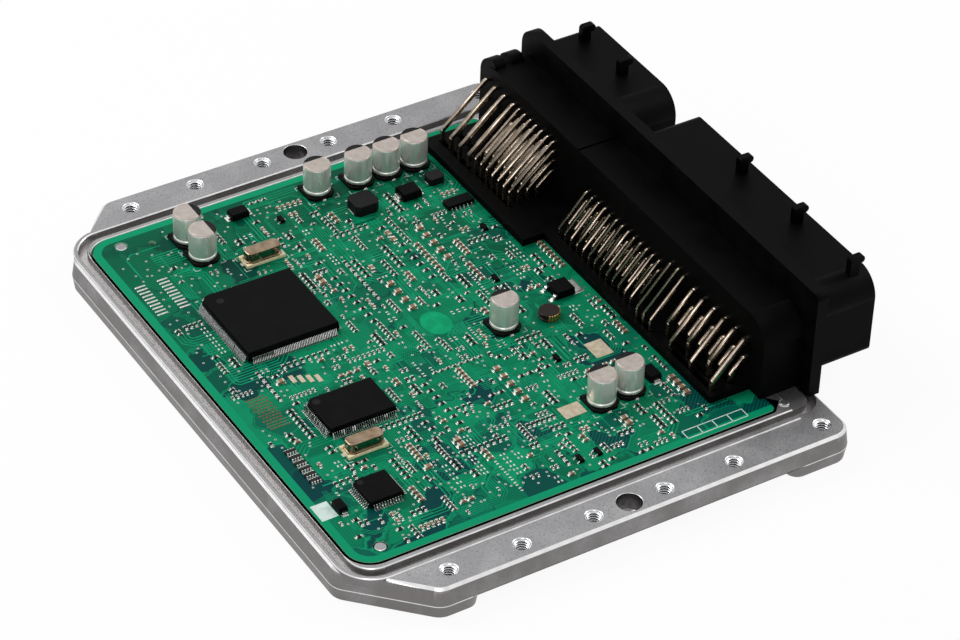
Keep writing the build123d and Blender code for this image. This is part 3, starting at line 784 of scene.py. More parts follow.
class Traveller:
    """Carries one face along a path in an upright plane, leaving a bar behind it."""

    def __init__(self, bm: BMesh, width: float, height: float, start: Sequence[float]) -> None:
        """Starts a bar that first runs towards -Y.

        Args:
            bm: mesh to add to.
            width: size of the bar along X.
            height: its size across the path.
            start: middle of its first face.
        """
        self.bm = bm
        self.centre = Vector(start)
        self.heading = 0.0
        place = Matrix.Translation(self.centre) @ Matrix.Rotation(math.pi / 2, 4, "X")
        matrix = place @ Matrix.Diagonal((width, height, 1.0, 1.0))
        verts = bmesh.ops.create_grid(bm, x_segments=1, y_segments=1, size=0.5, matrix=matrix)["verts"]
        self.face = verts[0].link_faces[0]

    def extrude(self) -> list[BMVert]:
        """Extrudes the face where it stands.

        Returns:
            Vertices of the new face.
        """
        made = bmesh.ops.extrude_face_region(self.bm, geom=[self.face])["geom"]
        self.face = next(g for g in made if isinstance(g, BMFace))
        return verts_of(made)

    def go(self, length: float, scale: float = 1.0) -> "Traveller":
        """Runs straight on, and may widen or narrow at the end.

        Args:
            length: length of the run.
            scale: size of its last face over that of its first.

        Returns:
            The traveller.
        """
        step = Vector((0, -math.cos(self.heading), -math.sin(self.heading))) * length
        verts = self.extrude()
        bmesh.ops.translate(self.bm, vec=step, verts=verts)
        self.centre = self.centre + step
        if scale != 1.0:
            space = Matrix.Translation(-self.centre)
            bmesh.ops.scale(self.bm, vec=(scale,) * 3, space=space, verts=verts)
        return self

    def bend(self, angle: float, radius: float, steps: int = 3) -> "Traveller":
        """Turns downwards by the angle, or upwards if it is negative.

        Args:
            angle: turn in radians.
            radius: radius of the bend's middle line.
            steps: number of flats in it.

        Returns:
            The traveller.
        """
        side = 1.0 if angle > 0 else -1.0
        inward = Vector((0, math.sin(self.heading), -math.cos(self.heading))) * side * radius
        pivot = self.centre + inward
        turn = Matrix.Rotation(angle / steps, 3, "X")
        for _ in range(steps):
            verts = self.extrude()
            bmesh.ops.rotate(self.bm, cent=pivot, matrix=turn, verts=verts)
            self.centre = pivot + turn @ (self.centre - pivot)
        self.heading += angle
        return self


def publish(
    bm: BMesh,
    name: str,
    materials: Sequence[Material],
    node: Optional[str] = None,
    smooth_degrees: float = 30.0,
    recalc: bool = True,
) -> None:
    """Turns a finished mesh into a piece of the object.

    Args:
        bm: mesh in millimetres; it is freed.
        name: name of the piece.
        materials: finishes by material index.
        node: CAD node that the piece stands for, if it stands for one.
        smooth_degrees: edges sharper than this stay sharp.
        recalc: whether the faces are turned outwards.
    """
    if recalc:
        bmesh.ops.recalc_face_normals(bm, faces=bm.faces)
    bmesh.ops.scale(bm, vec=(MM,) * 3, verts=bm.verts)
    mesh = bpy.data.meshes.new(name)
    bm.to_mesh(mesh)
    bm.free()
    for material in materials:
        mesh.materials.append(material)
    mesh.shade_smooth()
    mesh.set_sharp_from_angle(angle=math.radians(smooth_degrees))
    for face in mesh.polygons:
        level = max(abs(share) for share in face.normal) > LEVEL_SHARE
        face.use_smooth = not level and face.area < LARGE_AREA * MM * MM
    piece = bpy.data.objects.new(name, mesh)
    bpy.context.scene.collection.objects.link(piece)
    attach(piece, "root")
    if node:
        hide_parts(node)
    log.info("%s: %d faces", name, len(mesh.polygons))


def dress(name: str, material: Material) -> None:
    """Gives a carried-over CAD node its finish."""
    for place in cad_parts[name].material_slots:
        place.material = material


@dataclass
class Assembly:
    """A sub-assembly that builds its pieces and dresses them in the unit's finishes."""

    finishes: Finishes
    board_top: float = 9.9


@dataclass
class Casting(Assembly):
    """Die-cast base with its tapped holes."""

    top_z: float = 9.4
    tapped: list[Pair] = field(
        default_factory=lambda: [
            (side * x, y)
            for x, row in ((88.0, (-32.6, -10.9, 10.9, 32.6)), (87.1, (-53.6, 61.4)))
            for side in SIDES
            for y in row
        ]
    )
    tapped_r: float = 2.1
    large: tuple[Pair, ...] = ((-88.0, 0.0), (88.0, 0.0))
    large_r: float = 3.5
    mouth: float = 0.4
    large_mouth: float = 0.12
    rib_edge: float = 0.28
    thread_turns: int = 8
    thread_pitch: float = 0.8
    thread_depth: float = 0.4
    thread_steps: int = 24
    # Heights in one pitch where the root ends and the crest starts and ends
    thread_root: float = 0.4
    thread_crest: tuple[float, float] = (0.62, 0.72)
    rim_low_z: float = 8.6
    slope_drop: float = 4.6
    corner_reach: float = 152.0
    parting_z: float = 3.9
    parting_edge: float = 0.16
    parting_degrees: float = 4.0
    slant_low: float = 0.4
    slant_high: float = 0.95
    # How near a point has to be to the flange's top, to a rim and to the parting line
    near_top: float = 0.02
    near_rim: float = 0.06
    near_parting: float = 0.05

    def rims(self, bm: BMesh, places: Iterable[Pair], r: float) -> list[BMEdge]:
        """Rims of some holes in the flange's top.

        Args:
            bm: mesh of the casting.
            places: middles of the holes.
            r: their radius.

        Returns:
            Edges of the rims.
        """
        at = [Vector(place) for place in places]
        level = [
            e
            for e in sharp_edges(bm, SHARP)
            if all(abs(v.co.z - self.top_z) < self.near_top for v in e.verts)
        ]
        return [
            e
            for e in level
            if any(all(abs((v.co.xy - c).length - r) < self.near_rim for v in e.verts) for c in at)
        ]

    def in_large_hole(self, face: BMFace) -> bool:
        """Whether a face lies inside a large hole, below its mouth.

        Args:
            face: face of the casting.

        Returns:
            True if it is part of the hole's wall.
        """
        middle = face.calc_center_median()
        near = any((middle.xy - Vector(place)).length < self.large_r + 0.05 for place in self.large)
        return near and middle.z < self.top_z - self.large_mouth

    def slope_corners(self, bm: BMesh) -> None:
        """Carries the rib's overhang at the cut corners down into the wall as a slope.

        Args:
            bm: mesh of the casting.
        """
        under = [f for f in bm.faces if f.normal.z < -0.5 and f.calc_center_median().z > self.rim_low_z]
        lower = verts_of(bmesh.ops.extrude_face_region(bm, geom=under)["geom"])
        bmesh.ops.translate(bm, vec=(0, 0, -self.slope_drop), verts=lower)
        for vert in lower:
            beyond = abs(vert.co.x) - vert.co.y - self.corner_reach
            if beyond > 0:
                vert.co.x -= math.copysign(beyond / 2, vert.co.x)
                vert.co.y += beyond / 2

    def build(self) -> None:
        """Builds the base, then the threads in its holes."""
        cut, edge_highlight, wall = 1, 2, 3
        bm = node_mesh("base_casting")
        self.slope_corners(bm)
        bevel_edges(bm, self.rims(bm, self.tapped, self.tapped_r), self.mouth, 2, cut, clamp=False)
        bevel_edges(bm, self.rims(bm, self.large, self.large_r), self.large_mouth, 2, cut, clamp=False)
        # Painted highlight: slanted rim faces high on the flange take the light edge finish
        for face in bm.faces:
            slanted = self.slant_low < face.normal.z < self.slant_high
            high = face.calc_center_median().z > self.rim_low_z
            if slanted and high and face.material_index != cut:
                face.material_index = edge_highlight
            # Painted shade on the walls of the large holes
            elif self.in_large_hole(face):
                face.material_index = wall
        # The rib edges and the parting line get bevels in the painted highlight
        ribs = [e for e in sharp_edges(bm, SHARP) if min(v.co.z for v in e.verts) > self.top_z + 0.2]
        bevel_edges(bm, ribs, self.rib_edge, 1, edge_highlight, clamp=False)
        bent = sharp_edges(bm, self.parting_degrees)
        seam = [
            e for e in bent if all(abs(v.co.z - self.parting_z) < self.near_parting for v in e.verts)
        ]
        bevel_edges(bm, seam, self.parting_edge, 1, edge_highlight, clamp=False)

        # The bevel of the parting line passes the feet's sides a little where it turns
        reach = mm_box("base_casting")[1].x
        for vert in bm.verts:
            vert.co.x = max(-reach, min(reach, vert.co.x))
        looks = [self.finishes.casting, self.finishes.cut_metal, self.finishes.edge, self.finishes.wall_shade]
        publish(bm, "cast_base", looks, "base_casting", 38)
        self.build_threads()

    def build_threads(self) -> None:
        """Turns a ring of thread crests inside each tapped hole."""
        bm, pitch = bmesh.new(), self.thread_pitch
        wall = self.tapped_r - 0.01
        crest = self.tapped_r - self.thread_depth
        for x, y in self.tapped:
            for turn in range(self.thread_turns):
                foot = self.top_z - self.mouth - self.thread_turns * pitch + turn * pitch
                root = [(wall, foot), (wall, foot + self.thread_root * pitch)]
                ridge = [(crest, foot + share * pitch) for share in self.thread_crest]
                ridge = [root[1], *ridge, (wall, foot + pitch)]
                # The root band takes the dark finish: painted shade in the thread's valleys
                for index, profile in ((1, root), (0, ridge)):
                    add_turned(bm, profile, (x, y, 0), self.thread_steps, index, outwards=False)
        looks = [self.finishes.cut_metal, self.finishes.thread_root]
        publish(bm, "tapped_threads", looks, None, 32, recalc=False)


@dataclass(frozen=True)
class PinRow:
    """Row of equal pins: node, X places, height over the flange, Y of the legs, fall and section."""

    node: str
    places: Sequence[float]
    z: float
    leg_y: float
    fall: float
    side: float


@dataclass
class Header(Assembly):
    """Connector moulding, locator plate and bent pins."""

    edge: float = 0.35
    plate_edge: float = 0.2
    hook_low_z: float = 37.0
    hook_rear_y: float = 75.0
    hook_width: float = 2.0
    hook_round: float = 0.95
    shortest_edge: float = 0.12
    shortest_plate_edge: float = 3.0
    # The pins' passages in the rear wall: from rear to front, the mouths' longest edge, the shortest run
    passage_rear_y: float = 52.0
    passage_front_y: float = 62.0
    passage_mouth: float = 1.7
    passage_run: float = 8.5
    exit_y: float = 51.7
    tip_y: float = 82.0
    end_z: float = 7.1
    top_z: float = 9.4
    bend_r: float = 0.5
    signal_side: float = 0.7
    power_side: float = 1.05
    signal_pitch: float = 3.03
    power_pitch: float = 4.86
    # First X and number of pins in a row, of the small bay and then the large one
    signal_fields: tuple[tuple[float, int], ...] = ((-50.6, 7), (-14.2, 13))
    power_fields: tuple[tuple[float, int], ...] = ((-68.4, 4), (38.9, 6))
    row_rise: float = 3.3
    row_step: float = 3.0
    small_fall: float = 0.9
    large_fall: float = 1.12

    def pin_rows(self) -> list[PinRow]:
        """Lays out the rows of pins.

        Returns:
            Every row, node by node.
        """
        thin, thick = self.signal_side, self.power_side
        small, large = ([x + self.signal_pitch * i for i in range(n)] for x, n in self.signal_fields)
        small_power, large_power = (
            [x + self.power_pitch * i for i in range(n)] for x, n in self.power_fields
        )
        rows = []
        for i in range(4):
            z, leg = 20.0 - self.row_rise * i, 38.0 + self.row_step * i
            rows.append(PinRow("small_bay_signal_pins", small, z, leg, self.small_fall, thin))
        for z, leg in ((19.6, 37.6), (13.0, 43.6)):
            rows.append(PinRow("small_bay_power_pins", small_power, z, leg, self.small_fall, thick))
        for i in range(3):
            z, leg = 14.4 - self.row_rise * i, 43.4 + self.row_step * i
            rows.append(PinRow("large_bay_signal_pins", large, z, leg, self.large_fall, thin))
        odd = [27.9, 31.15, 34.4]
        rows.append(PinRow("large_bay_signal_pins", odd, 17.7, 41.6, self.large_fall, thin))
        for xs, z, leg in (
            (large_power[0::2], 15.9, 44.4),
            (large_power[1::2], 15.9, 42.0),
            (large_power, 9.6, 48.0),
        ):
            rows.append(PinRow("large_bay_power_pins", xs, z, leg, self.large_fall, thick))
        return rows

    def build(self) -> None:
        """Builds the mouldings and the pins."""
        housing = node_mesh("header_housing")
        bevel_edges(housing, [e for e in housing.edges if self.on_hook_head(e)], self.hook_round, 4)
        rounded = [e for e in sharp_edges(housing, 35) if self.takes_bevel(e)]
        bevel_edges(housing, rounded, self.edge, 2)
        publish(housing, "header_moulding", [self.finishes.header], "header_housing", 34)
        plate = node_mesh("locator_plate")
        long = [e for e in sharp_edges(plate, 35) if e.calc_length() > self.shortest_plate_edge]
        bevel_edges(plate, long, self.plate_edge, 1)
        publish(plate, "pin_locator", [self.finishes.header], "locator_plate", 34)
        rows = self.pin_rows()
        for node in dict.fromkeys(row.node for row in rows):
            bm = bmesh.new()
            for row in (row for row in rows if row.node == node):
                stamp = Stamp.of(lambda shape: self.pin(shape, row))
                for x in row.places:
                    stamp.place(bm, Matrix.Translation((x, 0, 0)))
            publish(bm, node.replace("_pins", "_contacts"), [self.finishes.pin], node, 40)

    def on_hook_head(self, edge: BMEdge) -> bool:
        """Whether an edge runs along X on the head of a latch hook, on its outside.

        Args:
            edge: edge of the housing.

        Returns:
            True if it is one.
        """
        ahead = all(v.co.z > self.hook_low_z and v.co.y > self.hook_rear_y for v in edge.verts)
        run = abs(edge.verts[0].co.x - edge.verts[1].co.x)
        return ahead and abs(run - self.hook_width) < 0.05 and edge.is_convex

    def takes_bevel(self, edge: BMEdge) -> bool:
        """Whether an edge is rounded: neither a tiny one nor part of a pin passage in the rear wall.

        Args:
            edge: sharp edge of the housing.

        Returns:
            True if it is rounded.
        """
        rear, front = sorted(v.co.y for v in edge.verts)
        length = edge.calc_length()
        rear_room, front_room = rear - self.passage_rear_y, self.passage_front_y - front
        mouth = min(rear_room, front_room) > 0 and length < self.passage_mouth
        passage = min(rear_room, front_room) > 0.4 and front - rear > self.passage_run
        return length > self.shortest_edge and not mouth and not passage

    def pin(self, bm: BMesh, row: PinRow) -> None:
        """Builds one pin of a row at X = 0, from its tip in the bay to its foot under the board.

        Args:
            bm: empty mesh.
            row: row that it belongs to.
        """
        z, side = row.z + self.top_z, row.side
        first = math.atan(row.fall)
        second = math.pi / 2 - first
        r = self.bend_r + side / 2
        first_cut = r * math.tan(first / 2)
        second_cut = r * math.tan(second / 2)
        run = self.exit_y - row.leg_y
        foot_z = z - row.fall * run
        tip = Traveller(bm, side * 0.4, side * 0.4, (0, self.tip_y, z))
        tip.go(side * 1.3, 2.5)
        tip.go(self.tip_y - self.exit_y - side * 1.3 - first_cut)
        tip.bend(first, r)
        tip.go(run * math.hypot(1, row.fall) - first_cut - second_cut)
        tip.bend(second, r, 4)
        tip.go(foot_z - second_cut - self.end_z - 0.5)
        tip.go(0.5, 0.6)


class LeadSide(Enum):
    """Side of a package that a row of leads leaves, as a turn about the upright axis."""

    REAR = 0
    RIGHT = 90
    FRONT = 180
    LEFT = 270


@dataclass(frozen=True)
class LeadRows:
    """Leads of a package: pitch, width, and number on each X side and each Y side."""

    pitch: float
    width: float
    count_x: int
    count_y: int


@dataclass
class Packages(Assembly):
    """Moulded chips with gull-wing leads."""

    edge: float = 0.12
    lead_thickness: float = 0.14
    lead_bend_r: float = 0.18
    lead_degrees: float = 72.0
    reach: float = 1.1
    foot: float = 0.55
    mark_r: float = 1.1
    mark_share: float = 0.09
    mark_depth: float = 0.05
    mark_sunk: float = 0.02
    mark_inset: float = 0.3
    mark_inset_share: float = 0.14
    mark_steps: int = 24
    root: float = 0.15
    stand_off: float = 0.03
    shortest_flat: float = 0.05
    specs: dict[str, LeadRows] = field(
        default_factory=lambda: {
            "processor": LeadRows(0.5, 0.24, 52, 52),
            "memory_chip": LeadRows(0.65, 0.3, 20, 30),
            "driver_chip": LeadRows(0.8, 0.38, 11, 11),
            "interface_chip": LeadRows(1.27, 0.42, 0, 6),
        }
    )

    def build(self) -> None:
        """Builds each package and its leads."""
        for name, rows in self.specs.items():
            box = Block(*mm_box(name))
            self.body(name, box)
            self.leads(name, box, rows)

    def body(self, name: str, box: Block) -> None:
        """Rounds the moulded body and sinks its index mark.

        Args:
            name: CAD node of the body.
            box: its box.
        """
        bm = node_mesh(name)
        bevel_edges(bm, sharp_edges(bm, 20), self.edge, 2)
        r = min(self.mark_r, box.size.x * self.mark_share)
        inset = min(box.size.x, box.size.y) * self.mark_inset_share + self.mark_inset
        place = Matrix.Translation((box.low.x + inset, box.low.y + inset, box.high.z - self.mark_sunk))
        before = set(bm.faces)
        sizes = {"segments": self.mark_steps, "radius1": r, "radius2": r, "depth": self.mark_depth}
        bmesh.ops.create_cone(bm, cap_ends=True, matrix=place, **sizes)
        for face in set(bm.faces) - before:
            face.material_index = 1
        publish(bm, name + "_body", [self.finishes.chip, self.finishes.chip_mark], name, 25)

    def leads(self, name: str, box: Block, rows: LeadRows) -> None:
        """Builds the leads and their solder.

        Args:
            name: CAD node of the body.
            box: its box.
            rows: its leads.
        """
        rise = (box.high.z - self.board_top) / 2
        stamp = Stamp.of(lambda bm: self.lead(bm, rows.width, rise))
        bm = bmesh.new()
        for side in LeadSide:
            along_x = side in (LeadSide.REAR, LeadSide.FRONT)
            count = rows.count_x if along_x else rows.count_y
            depth = box.size.y / 2 if along_x else box.size.x / 2
            turn = turned_about_z(*box.over(self.board_top), side.value)
            for i in range(count):
                shift = (i - (count - 1) / 2) * rows.pitch
                stamp.place(bm, turn @ Matrix.Translation((shift, -depth, 0)))
        looks = [self.finishes.lead, self.finishes.solder]
        publish(bm, name + "_gull_leads", looks, name + "_leads")

    def lead(self, bm: BMesh, width: float, rise: float) -> None:
        """Builds one lead that leaves the body towards -Y, with its pad.

        Args:
            bm: empty mesh.
            width: width of the lead.
            rise: height at which it leaves the body.
        """
        angle = math.radians(self.lead_degrees)
        r = self.lead_bend_r
        bar = Traveller(bm, width, self.lead_thickness, (0, self.root, rise))
        cut = r * math.tan(angle / 2)
        drop = rise - self.lead_thickness / 2 - self.stand_off
        flat = self.reach - self.foot - drop / math.tan(angle)
        bar.go(self.root + max(self.shortest_flat, flat - cut))
        bar.bend(angle, r, 2)
        bar.go(max(self.shortest_flat, drop / math.sin(angle) - 2 * cut))
        bar.bend(-angle, r, 2)
        bar.go(max(0.1, self.foot - cut))
        add_box(bm, (0, -self.reach + 0.25, 0.02), (width * 1.15, self.foot + 0.35, 0.05), material=1)


@dataclass
class Capacitors(Assembly):
    """Aluminium electrolytic capacitors on black bases."""

    steps: int = 48
    turned_before_y: float = -40.0
    mark_x: float = -1.9
    top_from_z: float = 8.5
    base_width: float = 8.3
    base_height: float = 1.1
    base_cut: float = 1.7
    base_edge: float = 0.18
    profile: tuple[tuple[float, float], ...] = (
        (0.0, 0.02), (3.6, 0.02), (3.86, 0.06), (3.96, 0.2), (3.96, 0.75), (3.9, 0.95), (3.72, 1.12),
        (3.72, 1.3), (3.9, 1.48), (3.97, 1.7), (3.97, 8.25), (3.91, 8.55), (3.76, 8.77), (3.55, 8.87),
        (3.4, 8.87), (3.3, 8.8), (0.0, 8.8),
    )

    def build(self) -> None:
        """Builds the cans, their printed mark, bases and tabs."""
        looks = self.finishes
        cans, bases, tabs = bmesh.new(), bmesh.new(), bmesh.new()
        can_stamp, base_stamp = Stamp.of(self.can), Stamp.of(self.base)
        boxes = solids_of("capacitor_cans")
        for box in boxes:
            turn = -90.0 if box.centre.y < self.turned_before_y else 0.0
            can_stamp.place(cans, turned_about_z(*box.over(box.low.z), turn))
            base_stamp.place(bases, Matrix.Translation(box.over(self.board_top)))
        for box in solids_of("capacitor_tabs"):
            side = 1 if box.centre.x > box.nearest(boxes).centre.x else -1
            add_box(tabs, box.centre, box.size, 0.04)
            add_box(tabs, box.over(self.board_top + 0.04, -side * 0.5), (1.9, 1.5, 0.08), 0.02)
        shell = [looks.can, looks.can_ink, looks.can_top]
        publish(cans, "capacitor_shells", shell, "capacitor_cans", 40)
        publish(bases, "capacitor_feet", [looks.can_base], "capacitor_bases")
        publish(tabs, "capacitor_solder_tabs", [looks.solder], "capacitor_tabs")

    def can(self, bm: BMesh) -> None:
        """Builds a can with a crimp groove near its foot, a rounded shoulder and a printed mark.

        Args:
            bm: empty mesh.
        """
        add_turned(bm, self.profile, (0, 0, 0), self.steps)
        geometry = [*bm.verts, *bm.edges, *bm.faces]
        bmesh.ops.bisect_plane(bm, geom=geometry, plane_co=(self.mark_x, 0, 0), plane_no=(1, 0, 0))
        for face in bm.faces:
            middle = face.calc_center_median()
            if middle.z > self.top_from_z:
                face.material_index = 1 if middle.x < self.mark_x else 2

    def base(self, bm: BMesh) -> None:
        """Builds a square base with two cut corners and raised corner stops.

        Args:
            bm: empty mesh.
        """
        width, height = self.base_width, self.base_height
        add_box(bm, (0, 0, height / 2), (width, width, height))
        upright = [e for e in bm.edges if abs(e.verts[0].co.z - e.verts[1].co.z) > height / 2]
        bevel_edges(bm, [e for e in upright if e.verts[0].co.x > 0], self.base_cut, 1)
        upper = [e for e in bm.edges if min(v.co.z for v in e.verts) > height * 0.9]
        bevel_edges(bm, upper, self.base_edge, 2)
        for side in SIDES:
            add_box(bm, (-3.45, side * 3.45, 1.05), (1.2, 1.2, 0.5), 0.1)


@dataclass
class Crystals(Assembly):
    """Quartz crystals in drawn cans on cream bases."""

    corner_share: float = 0.34
    top_round: float = 0.22
    foot_grow: float = 0.6
    foot_height: float = 0.3
    foot_round: float = 0.1

    def build(self) -> None:
        """Builds cans and bases."""
        cans, bases = bmesh.new(), bmesh.new()
        for box in solids_of("crystal_cans"):
            self.shell(cans, box, 0.0, box.size.z, box.centre.z, self.top_round)
            foot = box.low.z + self.foot_height / 2
            self.shell(cans, box, self.foot_grow, self.foot_height, foot, self.foot_round)
        for box in solids_of("crystal_bases"):
            self.base(bases, box)
        publish(cans, "crystal_shells", [self.finishes.crystal], "crystal_cans", 35)
        looks = [self.finishes.crystal_base, self.finishes.solder]
        publish(bases, "crystal_seats", looks, "crystal_bases")

    def shell(self, bm: BMesh, box: Block, grow: float, height: float, z: float, soft: float) -> None:
        """Adds one layer of a can, with round corners and a soft top edge.

        Args:
            bm: mesh to add to.
            box: box of the can.
            grow: how much wider and longer the layer is than the box.
            height: height of the layer.
            z: height of its middle.
            soft: width of the bevel on its top edge.
        """
        width, length = box.size.x + grow, box.size.y + grow
        part = bmesh.new()
        add_box(part, (0, 0, 0), (width, length, height))
        upright = [e for e in part.edges if abs(e.verts[0].co.z - e.verts[1].co.z) > height / 2]
        bevel_edges(part, upright, width * self.corner_share, 6)
        bevel_edges(part, [e for e in part.edges if min(v.co.z for v in e.verts) > 0], soft, 2)
        join(bm, part, Matrix.Translation(box.over(z)))

    def base(self, bm: BMesh, box: Block) -> None:
        """Builds one stepped base with a lug at each corner and a solder tab at each end.

        Args:
            bm: mesh to add to.
            box: box of the base.
        """
        wide, long, high = box.size
        add_box(bm, box.over(self.board_top + 0.4), (wide - 0.3, long - 0.3, 0.8), 0.12, 2)
        for side in SIDES:
            for end in SIDES:
                lug = box.over(box.centre.z, side * (wide / 2 - 0.55), end * (long / 2 - 0.95))
                add_box(bm, lug, (1.1, 1.9, high), 0.15, 2)
            tab = box.over(self.board_top + 0.06, 0.0, side * (long / 2 - 0.1))
            add_box(bm, tab, (1.4, 1.4, 0.1), 0.03, 1, 1)


@dataclass
class SmallPower(Assembly):
    """Inductors, choke, diodes, regulator and transistors."""

    leg_degrees: float = 65.0
    choke_turns: range = range(-30, 91, 15)
    end_fold: float = 0.15

    def build(self) -> None:
        """Builds every piece of the group."""
        self.inductors()
        self.choke()
        self.diodes()
        self.regulator()
        self.transistors()

    def inductors(self) -> None:
        """Shielded inductors: ferrite body, round lid and solder at two sides."""
        bm = node_mesh("inductors")
        bevel_edges(bm, sharp_edges(bm, SHARP), 0.18, 2)
        for box in solids_of("inductors"):
            wide, long, _ = box.size
            r = min(wide, long) * 0.36
            lid = [(r, -0.13), (r, -0.01), (r - 0.12, 0.01), (r - 0.3, 0.01), (r - 0.4, -0.11)]
            add_turned(bm, lid, box.over(box.high.z - 0.02), 32)
            for side in SIDES:
                place = box.over(self.board_top + 0.2, 0.0, side * (long / 2 - 0.1))
                add_box(bm, place, (wide * 0.45, 0.5, 0.4), 0.08, 1, 1)
        looks = [self.finishes.ferrite, self.finishes.solder]
        publish(bm, "shielded_inductors", looks, "inductors", 35)

    def choke(self) -> None:
        """Round choke: dark drum with a stepped top and turns of bright wire on one side."""
        bm = bmesh.new()
        box = solids_of("round_choke")[0]
        r, h = box.size.x / 2, box.size.z
        profile = [
            (0, 0.01), (r - 0.35, 0.01), (r - 0.1, 0.15), (r - 0.1, 0.55), (r - 0.35, 0.75),
            (r - 0.35, h - 0.7), (r - 0.08, h - 0.55), (r - 0.08, h - 0.2), (r - 0.3, h - 0.03),
            (r * 0.45, h - 0.03), (0, h - 0.06),
        ]
        place = box.over(box.low.z)
        add_turned(bm, profile, place, 40)
        for degrees in self.choke_turns:
            part = bmesh.new()
            add_box(part, (r - 0.25, 0, h / 2), (0.4, 0.6, h * 0.94), 0.12, 1, 1)
            join(bm, part, turned_about_z(*place, degrees))
        looks = [self.finishes.varnish, self.finishes.wire]
        publish(bm, "wound_choke", looks, "round_choke", 35)

    def diodes(self) -> None:
        """Diodes and the filter block, with drafted bodies and folded tinned ends."""
        bm = bmesh.new()
        bodies = solids_of("diode_bodies")
        for box in bodies:
            wide, long, high = box.size
            half = high / 2
            add_box(bm, box.over(box.centre.z + half * 0.4), (wide, long, half * 1.2), 0.12, 2, 0, 0.9)
            add_box(bm, box.over(box.low.z + half * 0.42), (wide * 0.97, long * 0.97, half * 0.82), 0.08)
        publish(bm, "diode_mouldings", [self.finishes.chip], "diode_bodies")
        bm = bmesh.new()
        for box in solids_of("diode_ends"):
            away = box.centre - box.nearest(bodies).centre
            add_box(bm, box.centre, box.size, 0.08, 2)
            shift = (math.copysign(self.end_fold, away.x), 0.0)
            if abs(away.x) <= abs(away.y):
                shift = (0.0, math.copysign(self.end_fold, away.y))
            pad = (box.size.x + 0.5, box.size.y + 0.5, 0.2)
            add_box(bm, box.over(self.board_top + 0.1, *shift), pad, 0.06)
        publish(bm, "diode_terminals", [self.finishes.solder], "diode_ends")

    def regulator(self) -> None:
        """Power regulator: drafted body, heat tab with solder and two formed legs."""
        bm = bmesh.new()
        body = solids_of("regulator_body")[0]
        add_box(bm, body.centre, body.size, 0.15, 2, 0, 0.93)
        publish(bm, "regulator_moulding", [self.finishes.chip], "regulator_body")
        bm = bmesh.new()
        for box in solids_of("regulator_tab_and_legs"):
            wide, long, _ = box.size
            if wide > 2:
                add_box(bm, box.centre, box.size, 0.12, 2)
                add_box(bm, box.over(self.board_top + 0.08), (wide + 1.0, long + 1.0, 0.16), 0.06)
                continue
            bar = Traveller(bm, wide, 0.5, (box.centre.x, box.high.y + 0.1, self.board_top + 1.1))
            self.form_leg(bar, (0.35, 0.45, 0.45), 0.3, 3)
            foot = (box.centre.x, box.low.y + 0.35, self.board_top + 0.05)
            add_box(bm, foot, (1.3, 1.1, 0.1), 0.03)
        publish(bm, "regulator_metal", [self.finishes.solder], "regulator_tab_and_legs")

    def transistors(self) -> None:
        """Small transistors with three formed legs each."""
        bm = bmesh.new()
        bodies = solids_of("transistor_bodies")
        for box in bodies:
            size = (box.size.x, box.size.y, 0.92)
            add_box(bm, box.over(box.centre.z + 0.04), size, 0.07, 2, 0, 0.9)
        publish(bm, "transistor_mouldings", [self.finishes.chip], "transistor_bodies")
        bm = bmesh.new()
        stamp = Stamp.of(self.transistor_leg)
        for leg in solids_of("transistor_legs"):
            body = leg.nearest(bodies)
            before = leg.centre.y < body.centre.y
            y, turn = (body.low.y, 0) if before else (body.high.y, 180)
            stamp.place(bm, turned_about_z(leg.centre.x, y, self.board_top, turn))
        looks = [self.finishes.lead, self.finishes.solder]
        publish(bm, "transistor_feet", looks, "transistor_legs")

    def transistor_leg(self, bm: BMesh) -> None:
        """Builds one leg that leaves the body towards -Y."""
        self.form_leg(Traveller(bm, 0.4, 0.13, (0, 0.1, 0.5)), (0.18, 0.2, 0.22), 0.12, 2)
        add_box(bm, (0, -0.42, 0.02), (0.65, 0.6, 0.05), material=1)

    def form_leg(self, bar: Traveller, runs: Sequence[float], r: float, steps: int) -> None:
        """Bends a leg down to the board and out along it.

        Args:
            bar: leg that leaves its body.
            runs: lengths of its three straight parts.
            r: radius of its two bends.
            steps: flats in each bend.
        """
        angle = math.radians(self.leg_degrees)
        bar.go(runs[0]).bend(angle, r, steps).go(runs[1]).bend(-angle, r, steps).go(runs[2])


class ChipKind(Enum):
    """Kinds of chip part: length, width, height and end share."""

    RESISTOR = (1.6, 0.8, 0.45, 0.2)
    CAPACITOR = (1.6, 0.8, 0.7, 0.24)
    SMALL_CAPACITOR = (1.1, 0.6, 0.5, 0.26)
    LARGE_CAPACITOR = (2.1, 1.3, 1.0, 0.22)
    OPEN_PADS = (1.5, 0.75, 0.09, 0.3)


